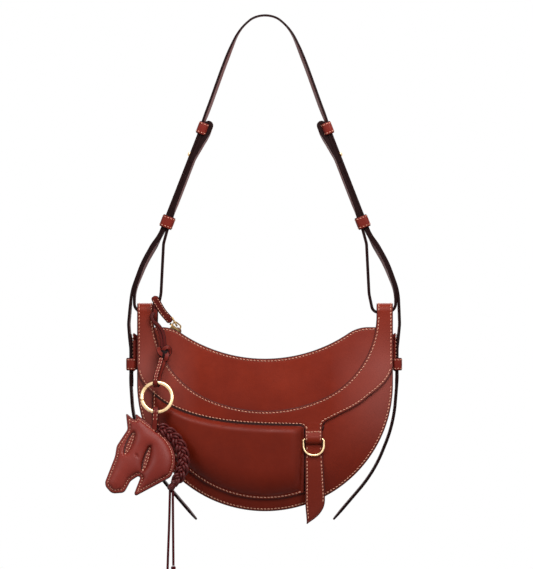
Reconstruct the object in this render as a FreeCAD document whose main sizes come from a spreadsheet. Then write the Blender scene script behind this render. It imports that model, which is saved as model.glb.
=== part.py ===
import FreeCAD, Part
import math
import os

V = FreeCAD.Vector
doc = FreeCAD.newDocument("half_moon_bag")

# Driving dimensions, in mm and degrees. Drops are measured down a panel from the tunnel axis of the ears,
# and the _up values up the straight side of the strap from the level of that axis.
DIMS = {
    "crown_drop": 320, "body_radius": 138, "body_drop": 77.6, "panel_tilt": 7.2,
    "panel_thick": 2.0, "leather_thick": 2.2, "lining_thick": 1.0, "gusset_thick": 2.0, "fit_gap": 0.3,
    "ear_width": 17.5, "tunnel_radius": 7.7,
    "mouth_drop": 52, "mouth_half": 90, "zip_radius": 158, "shoulder_radius": 38,
    "yoke_drop": 108.5, "yoke_arc": 150, "yoke_side_arc": 100, "yoke_side_drop": 55,
    "knee_in": 27.4, "knee_drop": 96, "hem_x": 62, "hem_drop": 118.5, "hem_end_drop": 124.5,
    "hem_corner": 9,
    "drop_x": 52.3, "drop_width": 18.6, "drop_length": 131,
    "pocket_side": 16.5, "pocket_margin": 12, "pocket_flange": 7, "pocket_depth": 12, "pocket_wall": 2,
    "pocket_round": 6, "flange_thick": 1.6,
    "slip_width": 120, "slip_height": 82, "slip_depth": 7, "slip_drop": 96, "slip_wall": 1.2,
    "tape_height": 10, "tape_thick": 1.0, "chain_height": 3.5, "chain_thick": 1.8, "zip_half": 98.4,
    "zip_end_reach": 9.0,
    "slider_length": 15, "slider_width": 12.4, "slider_lift": 1.3, "plate_thick": 2.0, "keel_width": 3.0,
    "arch_half": 4.6, "arch_height": 4.3, "arch_thick": 1.6, "bail_wire": 1.8, "bail_half": 4.6,
    "bail_length": 10.4,
    "puller_length": 36, "puller_width": 7, "puller_thick": 2.2,
    "ring_bar_drop": 139, "ring_wire": 2.4, "ring_inside": 19.6, "ring_reach": 17.4,
    "tab_bend_drop": 160, "tab_tip_drop": 230, "tab_thick": 2.0,
    "strap_width": 14, "strap_thick": 2.6, "loop_thick": 3.0, "strap_flare": 1.36, "crown_radius": 31.3,
    "lower_keeper_up": 105.8, "stud_up": 182.8, "upper_keeper_up": 213.8, "keeper_length": 13.5,
    "keeper_wall": 2.0,
    "fold_turn": 3.85, "stud_post": 1.6, "stud_head": 2.5, "stud_rise": 1.2,
    "washer_radius": 3.0, "washer_thick": 0.8,
    "side_tab_thick": 2.8, "side_tab_width": 18, "side_tab_drop": 22, "side_tab_length": 46,
    "tail_stand_off": 7.3, "tail_tip_off": 25.7, "tail_tip_angle": 63.2,
    "charm_lean": 14, "charm_out": 12.5, "charm_in": 22, "thong_width": 4, "thong_thick": 2.0,
    "thong_loop_radius": 11.5, "thong_knot": 7.2, "knot_drop": 46.7,
    "charm_ring_drop": 94, "charm_ring_radius": 16.2, "charm_wire": 4.1, "gate_pin_angle": 193,
    "gate_pin_radius": 1.0, "gate_reach": 15.0,
    "eye_bore": 3.0, "eye_wall": 1.8, "head_loop_width": 6.0, "head_length": 93,
    "head_half": 5.5, "head_rim": 2.8, "head_core": 3.4, "braid_width": 10, "mane_knot": 4.6,
    "cord_width": 2.6, "cord_knot": 3.2, "left_cord": 100, "right_cord": 80.5,
}

sheet = doc.addObject("Spreadsheet::Sheet", "Dims")
for row, (alias, value) in enumerate(DIMS.items(), 1):
    sheet.set("A%d" % row, alias)
    sheet.set("B%d" % row, str(value))
    sheet.setAlias("B%d" % row, alias)
doc.recompute()


class Size:
    """Reads a driving dimension from the sheet as a plain number."""

    def __getattr__(self, alias):
        return float(sheet.get(alias))


d = Size()
NODES = []

AXIS_Z = -d.crown_drop
EAR_IN = d.body_radius - d.ear_width
YOKE_W = d.tunnel_radius
FACE_W = d.tunnel_radius + d.leather_thick
INSIDE_W = d.tunnel_radius - d.panel_thick
LINED_W = INSIDE_W - d.lining_thick
TILT = math.radians(d.panel_tilt)
ZIP_ANGLE = math.degrees(math.asin(d.zip_half / d.zip_radius))


def turn(axis, angle):
    return FreeCAD.Rotation(axis, angle)


X_AXIS, Y_AXIS, Z_AXIS = V(1, 0, 0), V(0, 1, 0), V(0, 0, 1)
FRONT = FreeCAD.Placement(V(0, 0, AXIS_Z), turn(X_AXIS, 90 - d.panel_tilt))
BACK = FreeCAD.Placement(V(0, 0, AXIS_Z), turn(Z_AXIS, 180) * turn(X_AXIS, 90 - d.panel_tilt))
CHARM_X = -d.body_radius + d.charm_in
CHARM = FreeCAD.Placement(V(CHARM_X, -d.charm_out, AXIS_Z), turn(X_AXIS, 90 - d.charm_lean))
WORLD = FreeCAD.Placement()


# Outlines and paths

def vec(p):
    """A point of two or three numbers, as a vector."""
    return V(p[0], p[1], p[2] if len(p) > 2 else 0)


def trace(points, closed=False):
    """Straight runs joined by tangent arcs. Each point is a vector and a corner radius, and a radius that
    the two runs have no room for is reduced. Returns (start, end) runs and (start, middle, end) arcs."""
    n = len(points)
    wants = []
    for i, (p, r) in enumerate(points):
        if r <= 0 or (not closed and i in (0, n - 1)):
            wants.append((0, 0))
        else:
            half = (points[i - 1][0] - p).getAngle(points[(i + 1) % n][0] - p) / 2
            wants.append((r / math.tan(half), half))
    ends = []
    for i, (p, r) in enumerate(points):
        want, half = wants[i]
        if not want:
            ends.append((p, None, p))
            continue
        reach = want
        for j in ((i - 1) % n, (i + 1) % n):
            share = want / (want + wants[j][0])
            reach = min(reach, 0.98 * share * (points[j][0] - p).Length)
        r = reach * math.tan(half)
        a, b = (points[i - 1][0] - p).normalize(), (points[(i + 1) % n][0] - p).normalize()
        mid = (a + b).normalize() * (r / math.sin(half) - r)
        ends.append((p + a * reach, p + mid, p + b * reach))
    pieces = []
    for i in range(n):
        start, mid, end = ends[i]
        if mid is not None:
            pieces.append((start, mid, end))
        if closed or i < n - 1:
            pieces.append((end, ends[(i + 1) % n][0]))
    return [q for q in pieces if (q[0] - q[-1]).Length > 1e-6]


def curves(pieces):
    return [Part.LineSegment(*q) if len(q) == 2 else Part.ArcOfCircle(*q) for q in pieces]


def outline(points):
    """A closed outline of (x, y) or (x, y, radius) points."""
    return curves(trace([(V(p[0], p[1], 0), p[2] if len(p) > 2 else 0) for p in points], True))


def run(points):
    """An open run of (x, y) or (x, y, radius) points."""
    return curves(trace([(V(p[0], p[1], 0), p[2] if len(p) > 2 else 0) for p in points]))


def arc(cx, cy, r, a0, a1):
    """The arc about (cx, cy) from angle a0 to a1, in radians."""
    at = [V(cx + r * math.cos(a), cy + r * math.sin(a), 0) for a in (a0, (a0 + a1) / 2, a1)]
    return Part.ArcOfCircle(*at)


def line(p, q):
    return Part.LineSegment(V(p[0], p[1], 0), V(q[0], q[1], 0))


def polar(cx, cy, r, a):
    return cx + r * math.cos(a), cy + r * math.sin(a)


def round_points(cx, cy, r, a0, a1, n):
    """The corners of n tangents round an arc, each with the arc's radius."""
    step = (a1 - a0) / n
    return [polar(cx, cy, r / math.cos(step / 2), a0 + (i + 0.5) * step) + (r,) for i in range(n)]


def ribbon(points, thick):
    """The closed edge-on outline of a strap of that thickness along an open path."""
    half = thick / 2
    pieces = trace([(V(p[0], p[1], 0), p[2] if len(p) > 2 else 0) for p in points])

    def side(sign):
        moved = []
        for q in pieces:
            if len(q) == 2:
                t = (q[1] - q[0]).normalize()
                n = V(-t.y, t.x, 0) * half * sign
                moved.append((q[0] + n, q[1] + n))
            else:
                circle = Part.ArcOfCircle(*q)
                c = circle.Center
                away = (q[2] - q[0]).cross(q[1] - q[0]).z
                grow = half * sign * (1 if away > 0 else -1)
                moved.append(tuple(c + (p - c) * ((circle.Radius + grow) / circle.Radius) for p in q))
        return moved

    left, right = side(1), side(-1)
    return curves(left + [(left[-1][-1], right[-1][-1])] + right + [(right[0][0], left[0][0])])


# Features

def body(label, placement):
    b = doc.addObject("PartDesign::Body", label)
    b.Label = label
    b.Placement = placement
    return b


def sketch(b, plane, shapes, shift=None):
    """A sketch on one of the body's own origin planes, moved along its normal by an expression."""
    s = b.newObject("Sketcher::SketchObject", b.Label + "_sketch")
    s.AttachmentSupport = [(next(f for f in b.Origin.OriginFeatures if f.Role == plane), "")]
    s.MapMode = "FlatFace"
    if shift is not None:
        s.setExpression("AttachmentOffset.Base.z", shift)
    s.addGeometry(shapes, False)
    return s


def pad(b, s, length, both=False):
    p = b.newObject("PartDesign::Pad", b.Label + "_pad")
    p.Profile = s
    p.setExpression("Length", length)
    if both:
        p.SideType = "Symmetric"
    doc.recompute()
    return p


def pocket(b, s, length=None, back=False):
    """A cut through everything both ways, or to a length along the sketch's normal if back is set."""
    before = b.Shape.Volume
    p = b.newObject("PartDesign::Pocket", b.Label + "_pocket")
    p.Profile = s
    if length is None:
        p.Type = "ThroughAll"
        p.SideType = "Symmetric"
    else:
        p.setExpression("Length", length)
        p.Reversed = back
    doc.recompute()
    if not b.Shape.Volume < before - 1e-3:
        raise ValueError(b.Label + ": the pocket removes nothing")
    return p


def fillet(b, feature, radius, wanted):
    """Rounds the edges of the feature that the test picks out by their bounding box."""
    f = b.newObject("PartDesign::Fillet", b.Label + "_fillet")
    names = ["Edge%d" % i for i, e in enumerate(feature.Shape.Edges, 1) if wanted(e.BoundBox)]
    f.Base = (feature, names)
    f.setExpression("Radius", radius)
    doc.recompute()
    return f


def node(obj):
    NODES.append(obj)
    return obj


def plate(label, shapes, base, thick, placement):
    """A flat piece: an outline in the frame's plane, padded from a base height to a thickness."""
    b = body(label, placement)
    pad(b, sketch(b, "XY_Plane", shapes, base), thick)
    return node(b)


def strap(label, points, thick, width="Dims.strap_width", placement=WORLD, plane="XZ_Plane"):
    """A flat strap seen edge on in the plane, padded both ways to its width."""
    b = body(label, placement)
    pad(b, sketch(b, plane, ribbon(points, thick)), width, True)
    return b


def sleeve(label, inside_x, inside_y, wall, length, placement):
    """A keeper: a rounded tube about the frame's Z axis."""
    ox, oy, ix, iy = (inside_x / 2 + wall), (inside_y / 2 + wall), inside_x / 2, inside_y / 2
    b = body(label, placement)
    shapes = outline([(-ox, -oy, wall), (ox, -oy, wall), (ox, oy, wall), (-ox, oy, wall)])
    shapes += outline([(-ix, -iy, 0.2), (ix, -iy, 0.2), (ix, iy, 0.2), (-ix, iy, 0.2)])
    pad(b, sketch(b, "XY_Plane", shapes), length, True)
    return node(b)


def tube(label, points, wide, closed=False, placement=WORLD):
    """A round wire or cord along straight runs and tangent arcs, with its volume held to section x length."""
    pieces = trace([(vec(p[0]), p[1]) for p in points], closed)
    path = Part.Wire([c.toShape() for c in curves(pieces)])
    start = pieces[0][1] - pieces[0][0]
    ring = Part.Wire([Part.Circle(pieces[0][0], start, wide / 2).toShape()])
    solid = path.makePipeShell([ring], True, True)
    whole = math.pi * wide ** 2 / 4 * path.Length
    radii = ["%.1f" % Part.ArcOfCircle(*q).Radius for q in pieces if len(q) == 3]
    print(label, "length %.1f" % path.Length, "radii", radii, "volume %.4f" % (solid.Volume / whole))
    f = doc.addObject("Part::Feature", label)
    f.Label = label
    f.Shape = solid
    f.Placement = placement
    return node(f)


def primitive(kind, label, placement, **sizes):
    """A Part primitive whose sizes are bound to expressions."""
    p = doc.addObject("Part::" + kind, label)
    p.Label = label
    for name, value in sizes.items():
        p.setExpression(name, value)
    p.Placement = placement
    return p


def cut(label, base, tool, kind="Cut"):
    c = doc.addObject("Part::" + kind, label)
    c.Base, c.Tool = base, tool
    base.Label, c.Label = label + "_blank", label
    doc.recompute()
    return node(c)


# Body outlines, in the plane of a panel

def panel_outline(inset=0.0):
    """Round bottom, straight sides, flat shoulders and the hollow mouth with its turned-out ends."""
    r = d.body_radius - inset
    centre = d.zip_radius - d.mouth_drop
    big, small = d.zip_radius + inset, max(d.shoulder_radius - inset, 5)
    slope = math.asin(d.mouth_half / d.zip_radius)
    px, py = polar(0, centre, big, slope - math.pi / 2)
    cx, cy = px + small * math.sin(slope), py - small * math.cos(slope)
    top = cy + small
    shapes = [arc(0, -d.body_drop, r, math.pi, 2 * math.pi), line((r, -d.body_drop), (r, top))]
    shapes += [line((r, top), (cx, top)), arc(cx, cy, small, math.pi / 2, math.pi / 2 + slope)]
    shapes += [arc(0, centre, big, slope - math.pi / 2, -slope - math.pi / 2)]
    shapes += [arc(-cx, cy, small, math.pi / 2 - slope, math.pi / 2), line((-cx, top), (-r, top))]
    return shapes + [line((-r, top), (-r, -d.body_drop))]


def yoke_outline(with_drop):
    """The crescent with its two ears: stitched lower edge, then the hollow upper edge of three arcs."""
    r, knee = d.body_radius, d.body_radius - d.knee_in
    left, right = d.drop_x - d.drop_width / 2, d.drop_x + d.drop_width / 2
    hem = [(-r, 0), (-r, -d.yoke_side_drop), (-knee, -d.knee_drop, 120), (-d.hem_x, -d.hem_drop, 90)]
    if with_drop:
        hem += [(left, -d.hem_end_drop, d.hem_corner), (left, -d.drop_length), (right, -d.drop_length),
                (right, -d.hem_drop, d.hem_corner)]
    else:
        hem += [(d.hem_x, -d.hem_drop, 90)]
    hem += [(knee, -d.knee_drop, 120), (r, -d.yoke_side_drop), (r, 0), (EAR_IN, 0)]
    big, small = d.yoke_arc, d.yoke_side_arc
    big_y = big - d.yoke_drop
    side_x = EAR_IN - small
    side_y = big_y - math.sqrt((big - small) ** 2 - side_x ** 2)
    meet = math.atan2(side_y - big_y, side_x)
    shapes = run(hem) + [line((EAR_IN, 0), (EAR_IN, side_y))]
    shapes += [arc(side_x, side_y, small, 0, meet), arc(0, big_y, big, meet, -math.pi - meet)]
    shapes += [arc(-side_x, side_y, small, math.pi - meet, math.pi)]
    return shapes + [line((-EAR_IN, side_y), (-EAR_IN, 0)), line((-EAR_IN, 0), (-r, 0))]


def pocket_outline(inset, above, corner):
    """The front pocket under the yoke: straight left and right sides, round bottom, top along the hem."""
    left = -d.body_radius + d.pocket_side + inset
    right = d.drop_x - d.drop_width / 2 - 0.6 - inset
    r = d.body_radius - d.pocket_margin - inset
    knee, knee_y = d.knee_in - d.body_radius, above - d.knee_drop - 0.5
    hem_y = above - d.hem_drop - 0.5
    points = [(right, above - d.hem_end_drop - 0.5, max(corner, d.hem_corner + 1.5)), (-d.hem_x, hem_y, 90)]
    if left < knee - 4:
        slope = (d.knee_drop - d.yoke_side_drop) / d.knee_in
        points += [(knee, knee_y, 60), (left, knee_y - slope * (left - knee), corner)]
    else:
        points += [(left, knee_y + (left - knee) * (hem_y - knee_y) / (-d.hem_x - knee), corner)]
    a0, a1 = -math.acos(left / r), -math.acos(right / r)
    points += [polar(0, -d.body_drop, r, a0) + (40,)]
    points += round_points(0, -d.body_drop, r, a0, a1, 3)
    return outline(points + [polar(0, -d.body_drop, r, a1) + (corner,)])


def mouth_band(top, bottom, half_angle):
    """A strip along the mouth between two depths below its edge."""
    cy = d.zip_radius - d.mouth_drop
    a0, a1 = -math.pi / 2 - math.radians(half_angle), -math.pi / 2 + math.radians(half_angle)
    r0, r1 = d.zip_radius + top, d.zip_radius + bottom
    return [arc(0, cy, r0, a0, a1), line(polar(0, cy, r0, a1), polar(0, cy, r1, a1)),
            arc(0, cy, r1, a1, a0), line(polar(0, cy, r1, a0), polar(0, cy, r0, a0))]


# Bag body

INSIDE = "Dims.tunnel_radius - Dims.panel_thick"
LINED = INSIDE + " - Dims.lining_thick"
for side, frame in (("front", FRONT), ("back", BACK)):
    plate(side + "_panel", panel_outline(), INSIDE, "Dims.panel_thick", frame)
    plate(side + "_lining", panel_outline(d.gusset_thick + 1), LINED, "Dims.lining_thick", frame)
    plate("zip_tape_" + side, mouth_band(1, 1 + d.tape_height, ZIP_ANGLE - 1.5),
          LINED + " - Dims.tape_thick", "Dims.tape_thick", frame)
    plate("zip_chain_" + side, mouth_band(0.5, 0.5 + d.chain_height, ZIP_ANGLE - 1.5),
          LINED + " - Dims.tape_thick - Dims.chain_thick", "Dims.chain_thick", frame)

front_yoke = plate("front_yoke", yoke_outline(True), "Dims.tunnel_radius", "Dims.leather_thick", FRONT)
plate("back_yoke", yoke_outline(False), "Dims.tunnel_radius", "Dims.leather_thick", BACK)
fold_end = -math.pi / 2 + 2 * TILT
for shift in ("Dims.body_radius - Dims.ear_width", "-Dims.body_radius"):
    rim = [arc(0, 0, YOKE_W, math.pi / 2, fold_end), arc(0, 0, FACE_W, math.pi / 2, fold_end)]
    rim += [line((0, YOKE_W), (0, FACE_W)), line(polar(0, 0, YOKE_W, fold_end), polar(0, 0, FACE_W, fold_end))]
    pad(front_yoke, sketch(front_yoke, "YZ_Plane", rim, shift), "Dims.ear_width")

MOUTH_TOP = max(v.Y for v in Part.Shape([c for c in panel_outline()]).Vertexes)


def gusset_wire(frame, w):
    """The U of the gusset's cut edge, in one panel's inside plane."""
    r0, r1, cy, top = d.body_radius - 0.4, d.body_radius - d.gusset_thick, -d.body_drop, MOUTH_TOP - 2
    shapes = [line((-r0, top), (-r0, cy)), arc(0, cy, r0, math.pi, 2 * math.pi), line((r0, cy), (r0, top))]
    shapes += [line((r0, top), (r1, top)), line((r1, top), (r1, cy)), arc(0, cy, r1, 2 * math.pi, math.pi)]
    shapes += [line((-r1, cy), (-r1, top)), line((-r1, top), (-r0, top))]
    wire = Part.Wire([s.toShape() for s in shapes])
    wire.translate(V(0, 0, w))
    wire.Placement = frame.multiply(wire.Placement)
    return wire


mirror = FreeCAD.Matrix()
mirror.scale(V(1, -1, 1))
front_edge = gusset_wire(FRONT, INSIDE_W)
back_edge = front_edge.transformGeometry(mirror)
gusset = doc.addObject("Part::Feature", "gusset")
gusset.Shape = Part.makeLoft([front_edge, back_edge], True, True)
node(gusset)

front_pocket = body("front_pocket", FRONT)
flange = sketch(front_pocket, "XY_Plane", pocket_outline(0, 0, 3), "Dims.tunnel_radius")
pad(front_pocket, flange, "Dims.flange_thick")
face_line = pocket_outline(d.pocket_flange, 0, 9)
tight = min(c.Radius for c in face_line if hasattr(c, "Radius"))
face = sketch(front_pocket, "XY_Plane", face_line, "Dims.tunnel_radius + Dims.flange_thick")
swell = pad(front_pocket, face, "Dims.pocket_depth - Dims.flange_thick")
pocket_top = d.tunnel_radius + d.pocket_depth - 0.01
fillet(front_pocket, swell, "min(Dims.pocket_round; %.3f)" % (0.9 * tight),
       lambda box: box.ZMin > pocket_top)
pocket(front_pocket, sketch(front_pocket, "XY_Plane", pocket_outline(d.pocket_flange + 5, 40, 5),
                            "Dims.tunnel_radius"), "Dims.pocket_depth - Dims.pocket_wall", True)
node(front_pocket)

inner_pocket = body("inner_pocket", BACK)
slip_w, slip_h = d.slip_width / 2, d.slip_height
slip_wall = d.slip_wall
pad(inner_pocket, sketch(inner_pocket, "XY_Plane", outline(
    [(-slip_w, -d.slip_drop), (-slip_w, -d.slip_drop - slip_h, 12), (slip_w, -d.slip_drop - slip_h, 12),
     (slip_w, -d.slip_drop)]),
    LINED + " - Dims.slip_depth"), "Dims.slip_depth")
pocket(inner_pocket, sketch(inner_pocket, "XY_Plane", outline(
    [(-slip_w + slip_wall, -d.slip_drop + 5), (-slip_w + slip_wall, -d.slip_drop - slip_h + slip_wall, 11),
     (slip_w - slip_wall, -d.slip_drop - slip_h + slip_wall, 11), (slip_w - slip_wall, -d.slip_drop + 5)]),
    LINED), "Dims.slip_depth - Dims.slip_wall")
node(inner_pocket)

end_z = AXIS_Z + MOUTH_TOP * math.cos(TILT) - 2
end_y = LINED_W * math.cos(TILT) - (MOUTH_TOP - 2) * math.sin(TILT) - 0.1
for name, s in (("left", -1), ("right", 1)):
    x0, x1 = s * (EAR_IN - d.zip_end_reach), s * (d.body_radius - d.gusset_thick - 1)
    b = body("zip_end_" + name, WORLD)
    shapes = outline([(x0, -end_y, 2), (x1, -end_y), (x1, end_y), (x0, end_y, 2)])
    pad(b, sketch(b, "XY_Plane", shapes, "%.4f - Dims.leather_thick" % end_z), "Dims.leather_thick")
    node(b)

# Side tabs, keepers and strap tails on the gusset

SIDE_X = d.body_radius - 0.4
TAIL_X = SIDE_X + d.side_tab_thick + d.strap_thick / 2
TOP_X = d.body_radius + d.tail_stand_off
TAIL_KEEPER_Z = AXIS_Z - d.side_tab_drop - 0.75 * d.side_tab_length


def notch(b, z, up):
    """Points the strap's end at the tunnel axis, so that it can fold there."""
    y, h = d.strap_width / 2 + 1, up * (d.strap_width / 2 + 1) * math.tan(math.radians(41))
    both = outline([(0, z), (y, z + h), (y, z - 3 * up), (-y, z - 3 * up), (-y, z + h)])
    pocket(b, sketch(b, "YZ_Plane", both))


for name, s in (("left", -1), ("right", 1)):
    b = body(name + "_gusset_tab", WORLD)
    top, half = AXIS_Z - d.side_tab_drop, d.side_tab_width / 2
    low = top - d.side_tab_length
    shapes = outline([(-half, low, 2), (half, low, 2), (half, top, half - 1), (-half, top, half - 1)])
    base = "Dims.body_radius - 0.4" if s > 0 else "-Dims.body_radius + 0.4 - Dims.side_tab_thick"
    pad(b, sketch(b, "YZ_Plane", shapes, base), "Dims.side_tab_thick")
    node(b)

    gap = d.strap_thick + d.fit_gap
    at = V(s * (SIDE_X + d.side_tab_thick + gap / 2), 0, TAIL_KEEPER_Z)
    keeper = sleeve(name + "_gusset_keeper", gap, d.strap_width + 2 * d.fit_gap, d.keeper_wall,
                    "Dims.keeper_length", FreeCAD.Placement(at, turn(Z_AXIS, 0)))
    tab_side = outline([(-s * gap / 2, -20), (-s * gap / 2, 20), (-s * 9, 20), (-s * 9, -20)])
    pocket(keeper, sketch(keeper, "XY_Plane", tab_side))

    route = [(TOP_X, AXIS_Z - 0.2, 0), (TOP_X, AXIS_Z - 12, 40), (TAIL_X, AXIS_Z - 36, 40),
             (TAIL_X, AXIS_Z - 70, 60)]
    for angle, off, bend in ((17, 7.1, 150), (38.7, 13.1, 150), (d.tail_tip_angle, d.tail_tip_off, 0)):
        route.append(polar(0, AXIS_Z - d.body_drop, d.body_radius + off, -math.radians(angle)) + (bend,))
    tail = strap(name + "_tail", [(s * x, z, bend) for x, z, bend in route], d.strap_thick)
    notch(tail, AXIS_Z - 0.2, -1)
    node(tail)

# Strap: the long strap over the crown, the two loop straps, studs and keepers

# The straight sides leave the crown's arc aimed at a point just outside the top of the tails.
AIM, RISE = TOP_X + d.strap_flare, d.crown_drop + d.strap_thick / 2 - d.crown_radius
LEAN = math.atan2(AIM, RISE) - math.asin(d.crown_radius / math.hypot(AIM, RISE))
LEAN_DEG = math.degrees(LEAN)
APEX_Z = d.strap_thick / 2 + d.crown_radius * (1 / math.sin(LEAN) - 1)
SIDE = (APEX_Z - AXIS_Z) / math.cos(LEAN)
LOWER_AT, STUD_AT, UPPER_AT = SIDE - d.lower_keeper_up, SIDE - d.stud_up, SIDE - d.upper_keeper_up


def along(station, inward=0.0):
    """A point of the right-hand straight side: so far down it, and so far in from the long strap."""
    return (station * math.sin(LEAN) - inward * math.cos(LEAN),
            APEX_Z - station * math.cos(LEAN) - inward * math.sin(LEAN))


LAY_1 = (d.strap_thick + d.loop_thick) / 2 + 0.1
LAY_2 = LAY_1 + d.loop_thick + 0.1
spread = [along(LOWER_AT + 12) + (30,), (d.body_radius - 3.5, AXIS_Z + 53, 60),
          (TOP_X, AXIS_Z + 24, 40)]
half_path = spread + [(TOP_X, AXIS_Z + 0.2, 0)]
long_path = [(-x, z, r) for x, z, r in reversed(half_path)] + [(0, APEX_Z, d.crown_radius)] + half_path
shoulder = strap("shoulder_strap", long_path, d.strap_thick)
notch(shoulder, AXIS_Z + 0.2, 1)


def inner_layer(points, offset):
    """The right-hand path moved to the inner side of the long strap."""
    moved = []
    for i in range(1, len(points) - 1):
        a, p, b = (V(q[0], q[1], 0) for q in points[i - 1:i + 2])
        t0, t1 = (p - a).normalize(), (b - p).normalize()
        n0, n1 = V(t0.y, -t0.x, 0), V(t1.y, -t1.x, 0)
        m = (n0 + n1).normalize()
        q = p + m * (offset / m.dot(n0))
        moved.append((q.x, q.y, points[i][2]))
    return moved


bulge = LAY_1 + 2 * d.fold_turn
fold_top = UPPER_AT - d.keeper_length / 2 - 7.5
branch = inner_layer([along(LOWER_AT)] + spread + [(TOP_X, AXIS_Z)], LAY_1)
loop_path = [along(STUD_AT + 8.5, LAY_1), along(fold_top, LAY_1) + (d.fold_turn,),
             along(fold_top, bulge) + (d.fold_turn,), along(UPPER_AT + 6, bulge) + (30,),
             along(STUD_AT + 1, LAY_2 + 1.9) + (30,), along(STUD_AT + 28, LAY_1) + (30,),
             along(LOWER_AT - 28, LAY_1) + (30,), along(LOWER_AT - 10, LAY_2) + (20,),
             along(LOWER_AT + 8, LAY_2) + (20,), (EAR_IN - 10.9, AXIS_Z + 74, 20),
             (EAR_IN - 8.2, AXIS_Z + 20, 40), (EAR_IN - 4, AXIS_Z, 7), (branch[-1][0], AXIS_Z, 6)]
loop_path += branch[::-1] + [along(LOWER_AT - 6, LAY_1)]
loop_path = [p if len(p) > 2 else p + (0,) for p in loop_path]

stud_holes = []
for name, s in (("left", -1), ("right", 1)):
    x, z = along(STUD_AT)
    outward = FreeCAD.Placement(V(s * x, 0, z), turn(Y_AXIS, s * (90 - LEAN_DEG)))
    below = outward.multiply(FreeCAD.Placement(V(0, 0, -6), WORLD.Rotation))
    stud_holes.append(primitive("Cylinder", name + "_stud_hole", below, Radius="Dims.stud_post", Height="9"))
    loop = strap(name + "_loop_strap", [(s * px, pz, r) for px, pz, r in loop_path], d.loop_thick)
    stud_reach = primitive("Cylinder", name + "_stud_reach", outward.multiply(
        FreeCAD.Placement(V(0, 0, -LAY_1 - d.loop_thick / 2 - 0.05), WORLD.Rotation)),
        Radius="Dims.stud_post", Height="9")
    cut(name + "_loop_strap", loop, stud_reach)

    post, head, wide, thin = d.stud_post, d.stud_head, d.washer_radius, d.washer_thick
    face, back = d.strap_thick / 2, LAY_1 + d.loop_thick / 2
    stud = body(name + "_stud", outward)
    rim = face + thin
    dome = (head ** 2 + d.stud_rise ** 2) / (2 * d.stud_rise)
    low = rim + d.stud_rise - dome
    corners = [(0, -back - thin), (wide, -back - thin), (wide, -back), (post, -back), (post, face),
               (head, face), (head, rim)]
    profile = [line(p, q) for p, q in zip(corners, corners[1:])]
    profile += [arc(0, low, dome, math.atan2(rim - low, head), math.pi / 2),
                line((0, low + dome), corners[0])]
    s_rev = sketch(stud, "XZ_Plane", profile)
    rev = stud.newObject("PartDesign::Revolution", name + "_stud_turned")
    rev.Profile = s_rev
    rev.ReferenceAxis = (s_rev, ["V_Axis"])
    rev.Angle = 360
    doc.recompute()
    node(stud)

    lower_in = LAY_2 + d.loop_thick / 2 + d.strap_thick / 2 + 2 * d.fit_gap
    upper_in = LAY_1 + d.loop_thick / 2 + d.strap_thick / 2 + 2 * d.fit_gap
    for which, station, wide in (("lower", LOWER_AT, lower_in),
                                 ("upper", UPPER_AT, upper_in)):
        x, z = along(station, wide / 2 - d.strap_thick / 2 - d.fit_gap)
        sleeve("%s_%s_keeper" % (name, which), wide, d.strap_width + 2 * d.fit_gap, d.keeper_wall,
               "Dims.keeper_length", FreeCAD.Placement(V(s * x, 0, z), turn(Y_AXIS, -s * LEAN_DEG)))

holes = doc.addObject("Part::MultiFuse", "stud_holes")
holes.Shapes = stud_holes
cut("shoulder_strap", shoulder, holes)

# Zip slider with its bail and leather puller

ZIP_Z = AXIS_Z + (d.zip_radius - d.mouth_drop) * math.cos(TILT)
zip_a = math.radians(ZIP_ANGLE)
RIDE = FreeCAD.Placement(V(-d.zip_radius * math.sin(zip_a), 0, ZIP_Z - d.zip_radius * math.cos(zip_a)),
                         turn(Y_AXIS, ZIP_ANGLE))
slider = body("zip_slider", RIDE)
sl, sw = d.slider_length / 2, d.slider_width / 2
top_plate = outline([(-sl, -sw, 4), (sl, -sw, 4), (sl, sw, 4), (-sl, sw, 4)])
pad(slider, sketch(slider, "XY_Plane", top_plate, "Dims.slider_lift"), "Dims.plate_thick")
keel = d.keel_width / 2
keel_plate = outline([(-sl + 3, -keel), (sl - 3, -keel), (sl - 3, keel), (-sl + 3, keel)])
pad(slider, sketch(slider, "XY_Plane", keel_plate, "-1.2 - Dims.chain_height"),
    "Dims.chain_height + Dims.slider_lift + 1.3")
low_plate = outline([(-sl, -3.4, 2), (sl, -3.4, 2), (sl, 3.4, 2), (-sl, 3.4, 2)])
pad(slider, sketch(slider, "XY_Plane", low_plate, "-1.2 - Dims.chain_height - Dims.plate_thick"),
    "Dims.plate_thick")
deck = d.slider_lift + d.plate_thick
ah, top = d.arch_half, deck + d.arch_height
arch = [(-ah, deck - 0.1), (-ah, top, 2.5), (ah, top, 2.5), (ah, deck - 0.1)]
pad(slider, sketch(slider, "XZ_Plane", ribbon(arch, d.arch_thick)), "Dims.keel_width", True)
node(slider)

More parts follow.
